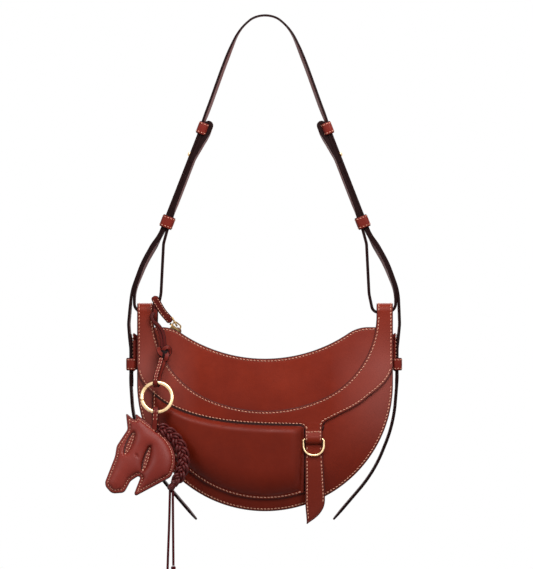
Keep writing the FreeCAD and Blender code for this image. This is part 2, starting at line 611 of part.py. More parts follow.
PIVOT = RIDE.multVec(V(0, 0, deck + d.bail_wire / 2 + 0.8))
puller_up = V(-0.5, 0, 0.866).normalize()
bw = d.bail_wire
bh, bl = d.bail_half, d.bail_length
bail = [((0, 0, 0), 0)] + [((0, y, z), 1.6) for y, z in ((bh, 0), (bh, bl), (-bh, bl), (-bh, 0))]
tube("zip_bail", bail, bw, True, FreeCAD.Placement(PIVOT, turn(Y_AXIS, -30)))
far = PIVOT + puller_up * bl
tip = V(-EAR_IN + 1.5, -d.charm_out - 6.2, AXIS_Z + 17)
u = (tip - far).normalize()
across = V(u.z, 0, -u.x).normalize()
puller_frame = FreeCAD.Placement(far, FreeCAD.Rotation(across, u, across.cross(u), "ZYX"))
puller = body("zip_puller", puller_frame)
ph = d.puller_width / 2
pad(puller, sketch(puller, "XY_Plane", outline([(-ph, -4, 3), (ph, -4, 3), (ph, d.puller_length, 3.2),
                                                (-ph, d.puller_length, 3.2)])
                   + [Part.Circle(V(0, 0, 0), Z_AXIS, bw / 2 + 0.9)]), "Dims.puller_thick", True)
node(puller)

# D-ring on the yoke's drop, and the hanging tab

RING_Y, RING_W = -d.ring_bar_drop, FACE_W + 2.1
reach, half_in = d.ring_reach, (d.ring_inside + d.ring_wire) / 2
bow = [((x, y, 0), r) for x, y, r in ((0, 0, 0), (half_in, 0, 2.4), (half_in, -reach, 10.4),
                                      (-half_in, -reach, 10.4), (-half_in, 0, 2.4))]
tube("d_ring", bow, d.ring_wire, True,
     FRONT.multiply(FreeCAD.Placement(V(d.drop_x, RING_Y, RING_W), WORLD.Rotation)))
ring_tab = body("ring_tab", FRONT)
low = RING_Y - 4.8
shapes = outline([(RING_Y + 12, FACE_W), (RING_Y + 12, FACE_W + 1.8, 1), (RING_Y + 4, RING_W + 2.1, 5),
                  (low, RING_W + 2.1, 3.5), (low, FACE_W + 0.1, 1), (RING_Y + 8, FACE_W + 0.1)])
shapes += [Part.Circle(V(RING_Y, RING_W, 0), Z_AXIS, d.ring_wire / 2 + d.fit_gap)]
pad(ring_tab, sketch(ring_tab, "YZ_Plane", shapes, "Dims.drop_x - Dims.drop_width / 2"), "Dims.drop_width")
node(ring_tab)

tl, tr = d.drop_x - d.drop_width / 2 + 0.2, d.drop_x + d.drop_width / 2
bend, point = -d.tab_bend_drop, -d.tab_tip_drop
root_y = -d.drop_length - 0.2
plate("tab_root", outline([(tl, root_y), (tr, root_y), (tr + 0.4, bend), (tl + 0.2, bend)]),
      "Dims.tunnel_radius", "Dims.tab_thick", FRONT)
plate("hanging_tab", outline([(tl + 0.2, bend - 0.3), (tr + 0.4, bend - 0.3), (tr + 3, point + 27, 6),
                              (tr - 6, point + 11, 30), (tl + 2, point, 1.5)]),
      "Dims.tunnel_radius + Dims.fit_gap", "Dims.tab_thick", FRONT)

# Charm: thong, gate ring and horse head, in the plane in which it leans on the bag

loop_ring = body("thong_ring", FreeCAD.Placement(V(-EAR_IN + d.fit_gap, 0, AXIS_Z), WORLD.Rotation))
rims = [Part.Circle(V(0, 0, 0), Z_AXIS, r) for r in (d.thong_loop_radius, d.thong_loop_radius + d.thong_thick)]
pad(loop_ring, sketch(loop_ring, "YZ_Plane", rims), "Dims.thong_width")
loop_x = -EAR_IN + d.fit_gap + d.thong_width / 2 - CHARM_X
knot_x, knot_y = 7.5, -d.knot_drop
upper_leg = strap("thong_leg", [(loop_x, 3, 0), (loop_x, -8, 30), (knot_x, knot_y + d.thong_knot - 0.7, 0)],
                  d.thong_width, "Dims.thong_thick", CHARM, "XY_Plane")
thong_loop = doc.addObject("Part::Fuse", "thong_loop")
thong_loop.Base, thong_loop.Tool = loop_ring, upper_leg
node(thong_loop)
knot_seat = CHARM.multiply(FreeCAD.Placement(V(knot_x, knot_y, 0), WORLD.Rotation))
node(primitive("Ellipsoid", "thong_knot", knot_seat,
               Radius1="Dims.thong_knot - 2.6", Radius2="Dims.thong_knot", Radius3="Dims.thong_knot + 0.8",
               Angle1="-90", Angle2="90", Angle3="360"))

ring_y = -d.charm_ring_drop
wire_top = ring_y + d.charm_ring_radius
eye_out = d.eye_bore + d.eye_wall
legs = body("thong_legs", CHARM)
eye = [Part.Circle(V(wire_top, 0, 0), Z_AXIS, d.eye_bore), Part.Circle(V(wire_top, 0, 0), Z_AXIS, eye_out)]
pad(legs, sketch(legs, "YZ_Plane", eye), "9", True)
for x0, x1 in ((4.2, -2.2), (9.6, 2.2)):
    leg = ribbon([(x0, knot_y - d.thong_knot + 0.2), (x1, wire_top + eye_out - 1)], 4.2)
    pad(legs, sketch(legs, "XY_Plane", leg), "Dims.thong_thick", True)
node(legs)

RING = CHARM.multiply(FreeCAD.Placement(V(0, ring_y, 0), WORLD.Rotation))
pin_a = math.radians(d.gate_pin_angle)
pin_at = V(*polar(0, 0, d.charm_ring_radius, pin_a), 0)


def ring_sector(label, start, sweep):
    frame = RING.multiply(FreeCAD.Placement(V(0, 0, 0), turn(Z_AXIS, start)))
    return primitive("Torus", label, frame, Radius1="Dims.charm_ring_radius", Radius2="Dims.charm_wire / 2",
                     Angle3=sweep)


def about_pin(label, radius, sweep=None, height=20):
    """A round tool about the gate's pin, or the quarter of it above the pin."""
    frame = RING.multiply(FreeCAD.Placement(pin_at - V(0, 0, height / 2), WORLD.Rotation))
    return primitive("Cylinder", label, frame, Radius=radius, Height=str(height), Angle=sweep or "360")


ring_blank = ring_sector("ring_blank", d.gate_pin_angle, "360 - Dims.gate_pin_angle + 150")
room = doc.addObject("Part::MultiFuse", "ring_room")
room.Shapes = [about_pin("gate_room", "Dims.gate_reach + 0.2", "100"),
               about_pin("pin_bore", "Dims.gate_pin_radius")]
cut("charm_ring", ring_blank, room)
gate_blank = ring_sector("gate_blank", 120, "Dims.gate_pin_angle - 120 - 4.7")
cut("ring_gate", gate_blank, about_pin("gate_end", "Dims.gate_reach - 0.2"), "Common")
node(about_pin("gate_pin", "Dims.gate_pin_radius", height=d.charm_wire + 0.6))

wire_low = ring_y - d.charm_ring_radius
HEAD = ((-33.6, -1.1, 1), (-22.6, -10.6, 1.5), (-23.3, -1.7, 1), (-6.4, -15.0, 6), (5.8, -25.6, 10),
        (17.7, -38.9, 8), (21.0, -53.4, 8), (14.0, -72.9, 3), (-25.7, -94.0, 2), (-16.0, -67.9, 1.5),
        (-29.8, -76.8, 8), (-35.7, -88.5, 3), (-48.2, -89.8, 5), (-56.5, -80.1, 3), (-44.9, -49.0, 20),
        (-43.3, -37.8, 8), (-31.6, -19.5, 4))
PUFF = ((-39.5, -41.2, 5), (-29.8, -22.8, 4), (-10.9, -17.8, 6), (8.5, -36.7, 8), (14.5, -54.5, 6),
        (4.8, -72.9, 4), (-11.4, -76.2, 4), (-26.6, -70.1, 5), (-38.4, -83.5, 4), (-50.3, -81.2, 4),
        (-43.8, -61.2, 20))
CORE = ((-36.3, -40.1, 3), (-28.7, -25.6, 4), (-11.4, -20.0, 5), (5.8, -37.8, 8), (11.2, -54.5, 6),
        (2.6, -70.1, 4), (-9.3, -73.4, 4))


def head_point(x, y):
    """A point of the head, drawn in mm at its usual length from the bottom of the gate ring."""
    k = d.head_length / 93
    return x * k, wire_low + y * k


def head_outline(points, sign=1):
    """A closed outline in the charm's plane, mirrored for the back of the head."""
    return outline([(sign * head_point(x, y)[0], head_point(x, y)[1], r) for x, y, r in points])


head_loop = body("head_loop", CHARM)
eye = [Part.Circle(V(wire_low, 0, 0), Z_AXIS, d.eye_bore), Part.Circle(V(wire_low, 0, 0), Z_AXIS, eye_out)]
pad(head_loop, sketch(head_loop, "YZ_Plane", eye, "-Dims.head_loop_width / 2 - 1.5"), "Dims.head_loop_width")
x0, x1 = -d.head_loop_width / 2 - 1.5, d.head_loop_width / 2 - 1.5
neck_top, neck_low = wire_low - eye_out + 1, head_point(0, -16.6)[1]
neck = outline([(x0, neck_top), (x1, neck_top), (x1, neck_low), (x0, neck_low)])
pad(head_loop, sketch(head_loop, "XY_Plane", neck), "2 * Dims.eye_wall + 0.4", True)
node(head_loop)
plate("head_core", head_outline(CORE), "-Dims.head_core", "2 * Dims.head_core", CHARM)
for label, frame_turn, sign in (("head_front", 0, 1), ("head_back", 180, -1)):
    cover = body(label, CHARM.multiply(FreeCAD.Placement(V(0, 0, 0), turn(Y_AXIS, frame_turn))))
    pad(cover, sketch(cover, "XY_Plane", head_outline(HEAD, sign)), "Dims.head_rim")
    puffed = pad(cover, sketch(cover, "XY_Plane", head_outline(PUFF, sign), "Dims.head_rim"),
                 "Dims.head_half - Dims.head_rim")
    fillet(cover, puffed, "Dims.head_half - Dims.head_rim - 0.3", lambda box: box.ZMin > d.head_half - 0.01)
    pocket(cover, sketch(cover, "XY_Plane", head_outline(CORE, sign)), "Dims.head_core", True)
    node(cover)

MANE = ((3.1, -17.8), (12.3, -21.7), (22.6, -31.7), (27.4, -44.5), (27.4, -56.8), (23.7, -69.0),
        (17.2, -78.3))
tube("mane_braid", [(head_point(*p), 30) for p in MANE], d.braid_width, False, CHARM)
knot_at = V(*head_point(15.6, -82.9), 0)
node(primitive("Ellipsoid", "mane_knot", CHARM.multiply(FreeCAD.Placement(knot_at, WORLD.Rotation)),
               Radius1="Dims.mane_knot - 0.6", Radius2="Dims.mane_knot", Radius3="Dims.mane_knot - 0.4",
               Angle1="-90", Angle2="90", Angle3="360"))

hang = CHARM.multVec(knot_at)
for name, x, drift, long in (("left", -1.5, -3.0, d.left_cord), ("right", 1.6, 0.6, d.right_cord)):
    top = hang + V(x, 0, -3.6)
    cord = [(top, 0), (top + V(drift * 0.2, 0, -long * 0.3), 2000),
            (top + V(drift * 0.7, 0, -long * 0.68), 2000), (top + V(drift, 0, -long), 0)]
    tube("tassel_" + name, [((p.x, p.y, p.z), r) for p, r in cord], d.cord_width)
    end = top + V(drift, 0, -long - d.cord_knot + 0.2)
    seat = FreeCAD.Placement(end, WORLD.Rotation)
    node(primitive("Sphere", "tassel_knot_" + name, seat, Radius="Dims.cord_knot"))

# Write out

doc.recompute()
os.makedirs("parts", exist_ok=True)
for obj in NODES:
    bad = [o.Name for o in [obj] + obj.OutListRecursive if "Invalid" in o.State or "Error" in o.State]
    if bad or obj.Shape.isNull() or not obj.Shape.isValid() or not obj.Shape.Solids:
        raise ValueError("%s is not sound: %s" % (obj.Label, bad))
    obj.Shape.exportStep("parts/%s.step" % obj.Label)
print(len(NODES), "parts")
print("zip centre %.3f, pivot %s" % (ZIP_Z, tuple(round(c, 3) for c in PIVOT)))
print("d-ring bar", tuple(FRONT.multVec(V(d.drop_x, RING_Y, RING_W))))
print("tab bend", tuple(FRONT.multVec(V(d.drop_x, bend - 0.15, YOKE_W + d.fit_gap + d.tab_thick))))
print("ring top", tuple(CHARM.multVec(V(0, wire_top, 0))), "bottom", tuple(CHARM.multVec(V(0, wire_low, 0))))
print("gate pin", tuple(RING.multVec(pin_at)), "normal", tuple(CHARM.Rotation.multVec(Z_AXIS)))
print("lower keeper", along(LOWER_AT), "apex %.3f, lean %.4f" % (APEX_Z, LEAN_DEG))
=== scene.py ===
import bpy
import math
import numpy as np
from mathutils.geometry import delaunay_2d_cdt
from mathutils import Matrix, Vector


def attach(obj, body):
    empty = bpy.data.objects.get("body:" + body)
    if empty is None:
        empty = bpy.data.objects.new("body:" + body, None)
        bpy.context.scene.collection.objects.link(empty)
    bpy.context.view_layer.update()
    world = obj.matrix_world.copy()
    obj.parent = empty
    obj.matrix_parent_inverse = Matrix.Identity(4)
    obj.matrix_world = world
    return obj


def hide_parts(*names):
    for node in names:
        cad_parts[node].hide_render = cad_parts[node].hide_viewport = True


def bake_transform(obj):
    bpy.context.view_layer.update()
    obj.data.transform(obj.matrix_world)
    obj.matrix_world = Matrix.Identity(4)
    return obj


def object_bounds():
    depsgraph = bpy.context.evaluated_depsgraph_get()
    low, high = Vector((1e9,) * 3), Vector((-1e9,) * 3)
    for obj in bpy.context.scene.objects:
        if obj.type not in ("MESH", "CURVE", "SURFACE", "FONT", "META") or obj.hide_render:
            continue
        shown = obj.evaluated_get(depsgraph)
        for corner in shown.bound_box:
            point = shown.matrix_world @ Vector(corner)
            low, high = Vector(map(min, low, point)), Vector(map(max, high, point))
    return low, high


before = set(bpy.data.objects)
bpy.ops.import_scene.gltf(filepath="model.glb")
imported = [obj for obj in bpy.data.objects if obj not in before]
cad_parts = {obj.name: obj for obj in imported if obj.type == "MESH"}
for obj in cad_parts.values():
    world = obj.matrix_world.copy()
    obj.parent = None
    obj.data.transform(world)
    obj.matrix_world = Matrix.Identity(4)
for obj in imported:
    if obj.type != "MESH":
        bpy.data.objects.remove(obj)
CAD_BOX = [[float(c) for c in corner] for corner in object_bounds()]
MM = 0.001

# Sizes of the bag in mm: the panels' plane has x across and y up from the axis of the ear tunnels
AXIS_Z = -320.0
ROUND, ROUND_Y = 138.0, -77.6
MOUTH_R, MOUTH_Y, MOUTH_HALF = 158.0, 106.0, 90.0
SHOULDER_R, SHOULDER_X, SHOULDER_Y = 38.0, 111.64, -55.1
YOKE_R, YOKE_Y, YOKE_HALF = 150.0, 41.5, 61.5
EAR_R, EAR_X, EAR_Y, EAR_IN = 100.0, 20.5, -4.1, 120.5
POCKET_R, POCKET_LEFT, POCKET_RIGHT = 126.0, -121.5, 42.4
GUSSET_R, LINING_R = 137.6, 134.6
DROP_X, DROP_HALF = 52.3, 9.3
FACE, YOKE_FACE = 7.7, 9.9
STRAP_WIDE, APEX_Z = 14.0, 56.167
CHARM_LEFT, THONG_R = 116.0, 12.5
TILT, CHARM_TILT, LEAN = math.radians(7.2), math.radians(14.0), math.radians(21.3)
STITCH_PITCH, FINE_PITCH, STITCH_SLANT = 3.72, 3.3, 0.13
SEAM_IN, EDGE_REACH = 2.3, 6.0


def front(x, y, w):
    """A point of the bag's front: x to the right, y up the tilted panel, w out of it; mm to metres."""
    x, y, w = np.broadcast_arrays(x, y, w)
    return np.stack([x, y * math.sin(TILT) - w * math.cos(TILT),
                     AXIS_Z + y * math.cos(TILT) + w * math.sin(TILT)], -1) * MM


def back(x, y, w):
    """The same plane on the back of the bag, turned half round."""
    p = front(x, y, w)
    return p * np.array([-1.0, -1.0, 1.0])


def charm(x, y, w):
    """A point of the plane in which the charm leans on the bag; x and y start at the thong's turn."""
    x, y, w = np.broadcast_arrays(x, y, w)
    return np.stack([x - CHARM_LEFT, y * math.sin(CHARM_TILT) - w * math.cos(CHARM_TILT) - THONG_R,
                     AXIS_Z + y * math.cos(CHARM_TILT) + w * math.sin(CHARM_TILT)], -1) * MM


def upright(x, z, y=0.0):
    """A point of the strap's plane, seen edge on from the front."""
    x, z, y = np.broadcast_arrays(x, z, y)
    return np.stack([x, y, z], -1) * MM


def along(station, inward=0.0):
    """A point of the strap's straight right side: so far down from its apex, and so far in from it."""
    return (station * math.sin(LEAN) - inward * math.cos(LEAN),
            APEX_Z - station * math.cos(LEAN) - inward * math.sin(LEAN))


# Finishes

def nodes_of(name):
    """A new material: itself, its nodes, its shader and the object's own coordinates."""
    m = bpy.data.materials.new(name)
    m.use_nodes = True
    t = m.node_tree
    return m, t, t.nodes["Principled BSDF"], node(t, "ShaderNodeTexCoord").outputs["Object"]


def node(tree, kind, inputs=(), **props):
    """One shader node: its properties, then its inputs as values or as links from other nodes."""
    n = tree.nodes.new(kind)
    for k, v in props.items():
        setattr(n, k, v)
    for k, v in dict(inputs).items():
        if isinstance(v, bpy.types.NodeSocket):
            tree.links.new(v, n.inputs[k])
        else:
            n.inputs[k].default_value = v
    return n


def ramp(tree, value, stops):
    """A colour ramp of (place, colour) stops on a value."""
    r = node(tree, "ShaderNodeValToRGB", {"Fac": value})
    band = r.color_ramp.elements
    band[0].position, band[0].color = stops[0][0], stops[0][1]
    band[1].position, band[1].color = stops[-1][0], stops[-1][1]
    for place, colour in stops[1:-1]:
        band.new(place).color = colour
    return r.outputs["Color"]


def grey(v):
    """An opaque grey of value v."""
    return (v, v, v, 1.0)


def noise(tree, where, scale, detail=3.0, rough=0.55):
    """Cloudy values from 0 to 1."""
    return node(tree, "ShaderNodeTexNoise", {"Vector": where, "Scale": scale, "Detail": detail,
                                             "Roughness": rough}).outputs["Fac"]


def mixed(tree, fac, a, b):
    """A mix of two colours."""
    return node(tree, "ShaderNodeMix", {0: fac, 6: a, 7: b}, data_type="RGBA").outputs[2]


def maths(tree, op, a, b):
    """One step of arithmetic on values."""
    return node(tree, "ShaderNodeMath", {0: a, 1: b}, operation=op).outputs[0]


def mapped(tree, value, start, end, low, high):
    """A value that runs from low to high while another runs from start to end."""
    return node(tree, "ShaderNodeMapRange", {0: value, 1: start, 2: end, 3: low, 4: high}).outputs[0]


def emboss(tree, bsdf, height, strength, deep):
    """Gives a shader a relief from height values; deep is in mm."""
    bump = node(tree, "ShaderNodeBump", {"Strength": strength, "Distance": deep * MM, "Height": height})
    tree.links.new(bump.outputs["Normal"], bsdf.inputs["Normal"])


def seen(tree):
    """1 where a ray looks at a thing, straight, mirrored or through glass; 0 where it gathers light."""
    path = node(tree, "ShaderNodeLightPath").outputs
    return maths(tree, "MAXIMUM", path["Is Camera Ray"],
                 maths(tree, "MAXIMUM", path["Is Glossy Ray"], path["Is Transmission Ray"]))


# The first colour is a painted highlight: a pale pinkish sheen laid into the dye on the bag's sides.
# The second is the edge paint's dark, which some pieces also use for painted shade.
PAINTED_SHEEN, EDGE_PAINT_AND_SHADE = (0.31, 0.085, 0.070, 1.0), (0.016, 0.0045, 0.004, 1.0)


def leather(name, light, dark, lower_shade=0.0, rough=0.45, pores=620.0, gloss=0.13, side_sheen=0.0):
    """Smooth calf: cloudy dye between two colours, fine pores and creases in the height, dark where a
    piece's edge attribute is near 0 (edge paint and wear, and on some pieces painted shade), with painted
    shade a little darker towards the bag's bottom and a painted pale sheen, a highlight, on its sides."""
    m, t, bsdf, at = nodes_of(name)
    dye = ramp(t, noise(t, at, 14.0, 4.0, 0.6), [(0.32, dark), (0.62, light)])
    specks = ramp(t, noise(t, at, 160.0, 3.0), [(0.4, grey(0.0)), (0.75, grey(0.35))])
    mottled = mixed(t, specks, dye, dark)
    # Painted sheen: the dye turns pale and pinkish on the bag's sides, in a belt round its middle height, a
    # highlight standing in for side light.
    if side_sheen:
        split = node(t, "ShaderNodeSeparateXYZ", {0: at}).outputs
        side = mapped(t, maths(t, "ABSOLUTE", split["X"], 0.0), 0.07, 0.125, 0.0, side_sheen)
        apart = maths(t, "ABSOLUTE", maths(t, "ADD", split["Z"], 0.40), 0.0)
        belt = mapped(t, apart, 0.02, 0.08, 1.0, 0.0)
        mottled = mixed(t, maths(t, "MULTIPLY", side, belt), mottled, PAINTED_SHEEN)
    # Painted shade: the dye darkens towards the bag's bottom, standing in for the light falling off below.
    if lower_shade:
        level = node(t, "ShaderNodeSeparateXYZ", {0: at}).outputs["Z"]
        depth = mapped(t, level, -0.40, -0.56, 0.0, lower_shade)
        mottled = mixed(t, depth, mottled, tuple(c * 0.3 for c in dark[:3]) + (1.0,))
    # Dark where the edge attribute is low: edge paint and wear at cut edges, and painted shade where a piece
    # writes it.
    edge = node(t, "ShaderNodeAttribute", attribute_name="edge").outputs["Fac"]
    paint_wear_and_shade = ramp(t, edge, [(0.0, grey(0.95)), (0.07, grey(0.85)), (0.15, grey(0.225)), (0.7, grey(0.0))])
    t.links.new(mixed(t, paint_wear_and_shade, mottled, EDGE_PAINT_AND_SHADE), bsdf.inputs["Base Color"])
    pits = node(t, "ShaderNodeTexVoronoi", {"Vector": at, "Scale": pores}).outputs["Distance"]
    grain = ramp(t, pits, [(0.0, grey(0.25)), (0.45, grey(1.0))])
    crease = noise(t, at, 95.0, 5.0, 0.65)
    height = maths(t, "ADD", maths(t, "MULTIPLY", grain, 0.5), maths(t, "MULTIPLY", crease, 1.3))
    emboss(t, bsdf, height, 0.22, 0.6)
    sheen = ramp(t, noise(t, at, 45.0, 3.0), [(0.3, grey(rough - 0.07)), (0.7, grey(rough + 0.08))])
    t.links.new(sheen, bsdf.inputs["Roughness"])
    bsdf.inputs["Specular IOR Level"].default_value = gloss
    return m


def edge_paint(name, colour):
    """Painted cut edge: dark, a little uneven and glossier than the grain."""
    m, t, bsdf, at = nodes_of(name)
    lumps = noise(t, at, 330.0, 4.0)
    pale = tuple(min(1.0, c * 1.7) for c in colour[:3]) + (1.0,)
    t.links.new(ramp(t, lumps, [(0.35, colour), (0.8, pale)]), bsdf.inputs["Base Color"])
    t.links.new(ramp(t, lumps, [(0.3, grey(0.48)), (0.7, grey(0.62))]), bsdf.inputs["Roughness"])
    emboss(t, bsdf, lumps, 0.18, 0.4)
    bsdf.inputs["Specular IOR Level"].default_value = 0.06
    return m


def brass(name, light, dark, rough):
    """Polished gilt metal: faint tarnish clouds, fine wiping scratches in the roughness and the height."""
    m, t, bsdf, at = nodes_of(name)
    tarnish = ramp(t, noise(t, at, 120.0, 3.0), [(0.35, dark), (0.65, light)])
    t.links.new(tarnish, bsdf.inputs["Base Color"])
    streak = node(t, "ShaderNodeMapping", {"Vector": at, "Scale": (300.0, 2600.0, 300.0)}).outputs["Vector"]
    lines = noise(t, streak, 1.0, 3.0)
    wiped = ramp(t, lines, [(0.3, grey(rough - 0.05)), (0.75, grey(rough + 0.09))])
    t.links.new(wiped, bsdf.inputs["Roughness"])
    emboss(t, bsdf, lines, 0.05, 0.2)
    bsdf.inputs["Metallic"].default_value = 1.0
    return m


def twisted(name, light, dark, pitch, rough, relief=0.35, gloss=0.14):
    """Twisted thread or waxed cord: plies as slanting bands in colour and height."""
    m, t, bsdf, at = nodes_of(name)
    plies = node(t, "ShaderNodeTexWave", {"Vector": at, "Scale": pitch, "Distortion": 1.5, "Detail": 2.0},
                 bands_direction="DIAGONAL").outputs["Fac"]
    t.links.new(ramp(t, plies, [(0.1, dark), (0.7, light)]), bsdf.inputs["Base Color"])
    emboss(t, bsdf, plies, relief, 0.3)
    fuzz = ramp(t, noise(t, at, 500.0), [(0.3, grey(rough - 0.08)), (0.7, grey(rough + 0.1))])
    t.links.new(fuzz, bsdf.inputs["Roughness"])
    bsdf.inputs["Specular IOR Level"].default_value = gloss
    return m


def woven(name, light, dark, threads):
    """Plain weave cloth: two crossing sets of thread bands, checked in colour and height."""
    m, t, bsdf, at = nodes_of(name)
    warp, weft = (node(t, "ShaderNodeTexWave", {"Vector": at, "Scale": threads},
                       bands_direction=way).outputs["Fac"] for way in "XZ")
    cross = maths(t, "MULTIPLY", warp, weft)
    slub = noise(t, at, 240.0, 3.0)
    tint = mixed(t, slub, ramp(t, cross, [(0.0, dark), (0.8, light)]), light)
    t.links.new(tint, bsdf.inputs["Base Color"])
    emboss(t, bsdf, cross, 0.3, 0.3)
    t.links.new(ramp(t, slub, [(0.2, grey(0.75)), (0.8, grey(0.92))]), bsdf.inputs["Roughness"])
    bsdf.inputs["Sheen Weight"].default_value = 0.2
    return m


# The body's calf has painted shade towards its bottom and a painted sheen on its sides; the pocket's calf has
# the painted shade.
CALF = leather("red_calf", (0.225, 0.020, 0.0065, 1), (0.165, 0.0125, 0.004, 1), lower_shade=0.58, side_sheen=0.55)
CALF_POCKET = leather("pocket_calf", (0.185, 0.0155, 0.005, 1), (0.135, 0.010, 0.003, 1), lower_shade=0.25)
CALF_HEAD = leather("head_calf", (0.255, 0.030, 0.019, 1), (0.185, 0.018, 0.011, 1), rough=0.4, gloss=0.2)
CALF_STRAP = leather("strap_calf", (0.17, 0.040, 0.034, 1), (0.10, 0.018, 0.015, 1), rough=0.5)
CALF_THONG = leather("thong_calf", (0.19, 0.018, 0.010, 1), (0.11, 0.010, 0.007, 1), rough=0.4)
CALF_MANE = leather("mane_calf", (0.125, 0.014, 0.013, 1), (0.07, 0.0075, 0.007, 1), rough=0.3, pores=900.0,
                    gloss=0.17)
# A darker copy of the thong's calf: painted shade on the thong's two strands.
CALF_PAINTED_SHADE = leather("thong_painted_shade", (0.105, 0.010, 0.008, 1), (0.055, 0.006, 0.005, 1), gloss=0.08)
PAINT = edge_paint("edge_paint", (0.0095, 0.0028, 0.0028, 1))
GILT = brass("gilt_brass", (0.92, 0.69, 0.405, 1), (0.79, 0.53, 0.28, 1), 0.2)
# A darker brass for the zip's slider and bail.
DARK_BRASS = brass("dark_brass", (0.42, 0.27, 0.11, 1), (0.24, 0.14, 0.06, 1), 0.3)
THREAD = twisted("sewing_thread", (0.82, 0.42, 0.295, 1), (0.51, 0.22, 0.143, 1), 900.0, 0.6)
CORD = twisted("waxed_cord", (0.092, 0.010, 0.012, 1), (0.055, 0.006, 0.008, 1), 420.0, 0.5, relief=0.12,
               gloss=0.06)
CLOTH = woven("lining_cloth", (0.16, 0.095, 0.075, 1), (0.07, 0.038, 0.030, 1), 420.0)
TAPE = woven("zip_tape_cloth", (0.085, 0.018, 0.014, 1), (0.035, 0.008, 0.006, 1), 700.0)


# Meshes from whole arrays

def grid_faces(rows, cols, ring=False, tube=False):
    """The quads of a rows by cols grid, closed along its columns (ring) or its rows (tube) if asked."""
    i = np.arange(rows if tube else rows - 1)[:, None]
    j = np.arange(cols if ring else cols - 1)[None, :]
    i2, j2 = (i + 1) % rows, (j + 1) % cols
    quad = np.stack(np.broadcast_arrays(i * cols + j, i * cols + j2, i2 * cols + j2, i2 * cols + j), -1)
    return quad.reshape(-1, 4)


def placed(name, data):
    """A new object in the scene that shows the data."""
    o = bpy.data.objects.new(name, data)
    bpy.context.scene.collection.objects.link(o)
    return o


def piece(name, verts, faces, body, mats, face_mat=None, edge=None):
    """A smooth mesh object at the origin, riding on a body. faces is one array or a list of arrays."""
    groups = faces if isinstance(faces, (list, tuple)) else [faces]
    mesh = bpy.data.meshes.new(name)
    points = np.asarray(verts, float).reshape(-1, 3).tolist()
    mesh.from_pydata(points, [], [f for g in groups for f in g.tolist()])
    for m in mats:
        mesh.materials.append(m)
    mesh.polygons.foreach_set("use_smooth", np.ones(len(mesh.polygons), bool))
    if face_mat is not None:
        mesh.polygons.foreach_set("material_index", np.asarray(face_mat, np.int32))
    # The edge attribute: near 0 darkens the leather, for edge paint and wear, and on some pieces for painted
    # shade.
    rim = mesh.attributes.new("edge", "FLOAT", "POINT")
    value = np.ones(len(mesh.vertices)) if edge is None else np.asarray(edge, float).ravel()
    rim.data.foreach_set("value", value.astype(np.float32))
    mesh.update()
    o = placed(name, mesh)
    if body:
        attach(o, body)
    return o


def thicken(o, thick, bevel):
    """Gives a sheet its leather thickness inwards, a painted rim and softly rounded corners."""
    s = o.modifiers.new("thickness", "SOLIDIFY")
    s.thickness, s.offset = thick * MM, -1.0
    s.material_offset_rim = 1
    if bevel:
        b = o.modifiers.new("round", "BEVEL")
        b.width, b.segments = bevel * MM, 2
        b.limit_method, b.angle_limit = "ANGLE", math.radians(50)
    return o


def unit(v):
    """Vectors made 1 long."""
    return v / np.linalg.norm(v, axis=-1, keepdims=True)


def normals(p):
    """Unit normals of a grid of points, from its two sets of differences."""
    n = np.cross(np.gradient(p, axis=1), np.gradient(p, axis=0))
    return n / np.maximum(np.linalg.norm(n, axis=-1, keepdims=True), 1e-12)


def faced(p, out):
    """The quads of a grid of points, turned towards the out direction."""
    quads = grid_faces(*p.shape[:2])
    return quads if np.sum(normals(p) * out, -1).mean() > 0 else quads[:, ::-1]


def sheet(name, p, out, thick, body, mats, edge=None, bevel=0.5):
    """A leather sheet from a grid of outer points, with its faces turned towards the out direction."""
    o = piece(name, p, faced(p, np.asarray(out)), body, mats, edge=edge)
    return thicken(o, thick, bevel)


def ease(t):
    """Smooth step from 0 to 1."""
    t = np.clip(t, 0.0, 1.0)
    return t * t * (3 - 2 * t)


def crowd(n):
    """Values from 0 to 1 that crowd towards both ends."""
    return 0.5 - 0.5 * np.cos(np.linspace(0, np.pi, n))


def swing(n):
    """Values from -1 to 1 that crowd towards both ends, as a sine does."""
    return np.sin(np.linspace(-np.pi / 2, np.pi / 2, n))


def columns(x, low, top, n):
    """Grids of x and y: at each x a column of n points, crowded towards its low end and its top."""
    y = low + (top - low) * crowd(n)[:, None]
    return np.broadcast_to(x, y.shape), y


def lengths(path):
    """How far along a path each of its points is."""
    return np.concatenate([[0], np.cumsum(np.linalg.norm(np.diff(path, axis=0), axis=1))])


def read_path(path, s, u):
    """The points of a path at the lengths u, where s is how far along its own points are."""
    return np.stack([np.interp(u, s, path[:, k]) for k in range(path.shape[1])], -1)


def round_way(path):
    """The direction of a closed path at each of its points."""
    return np.roll(path, -1, 0) - np.roll(path, 1, 0)


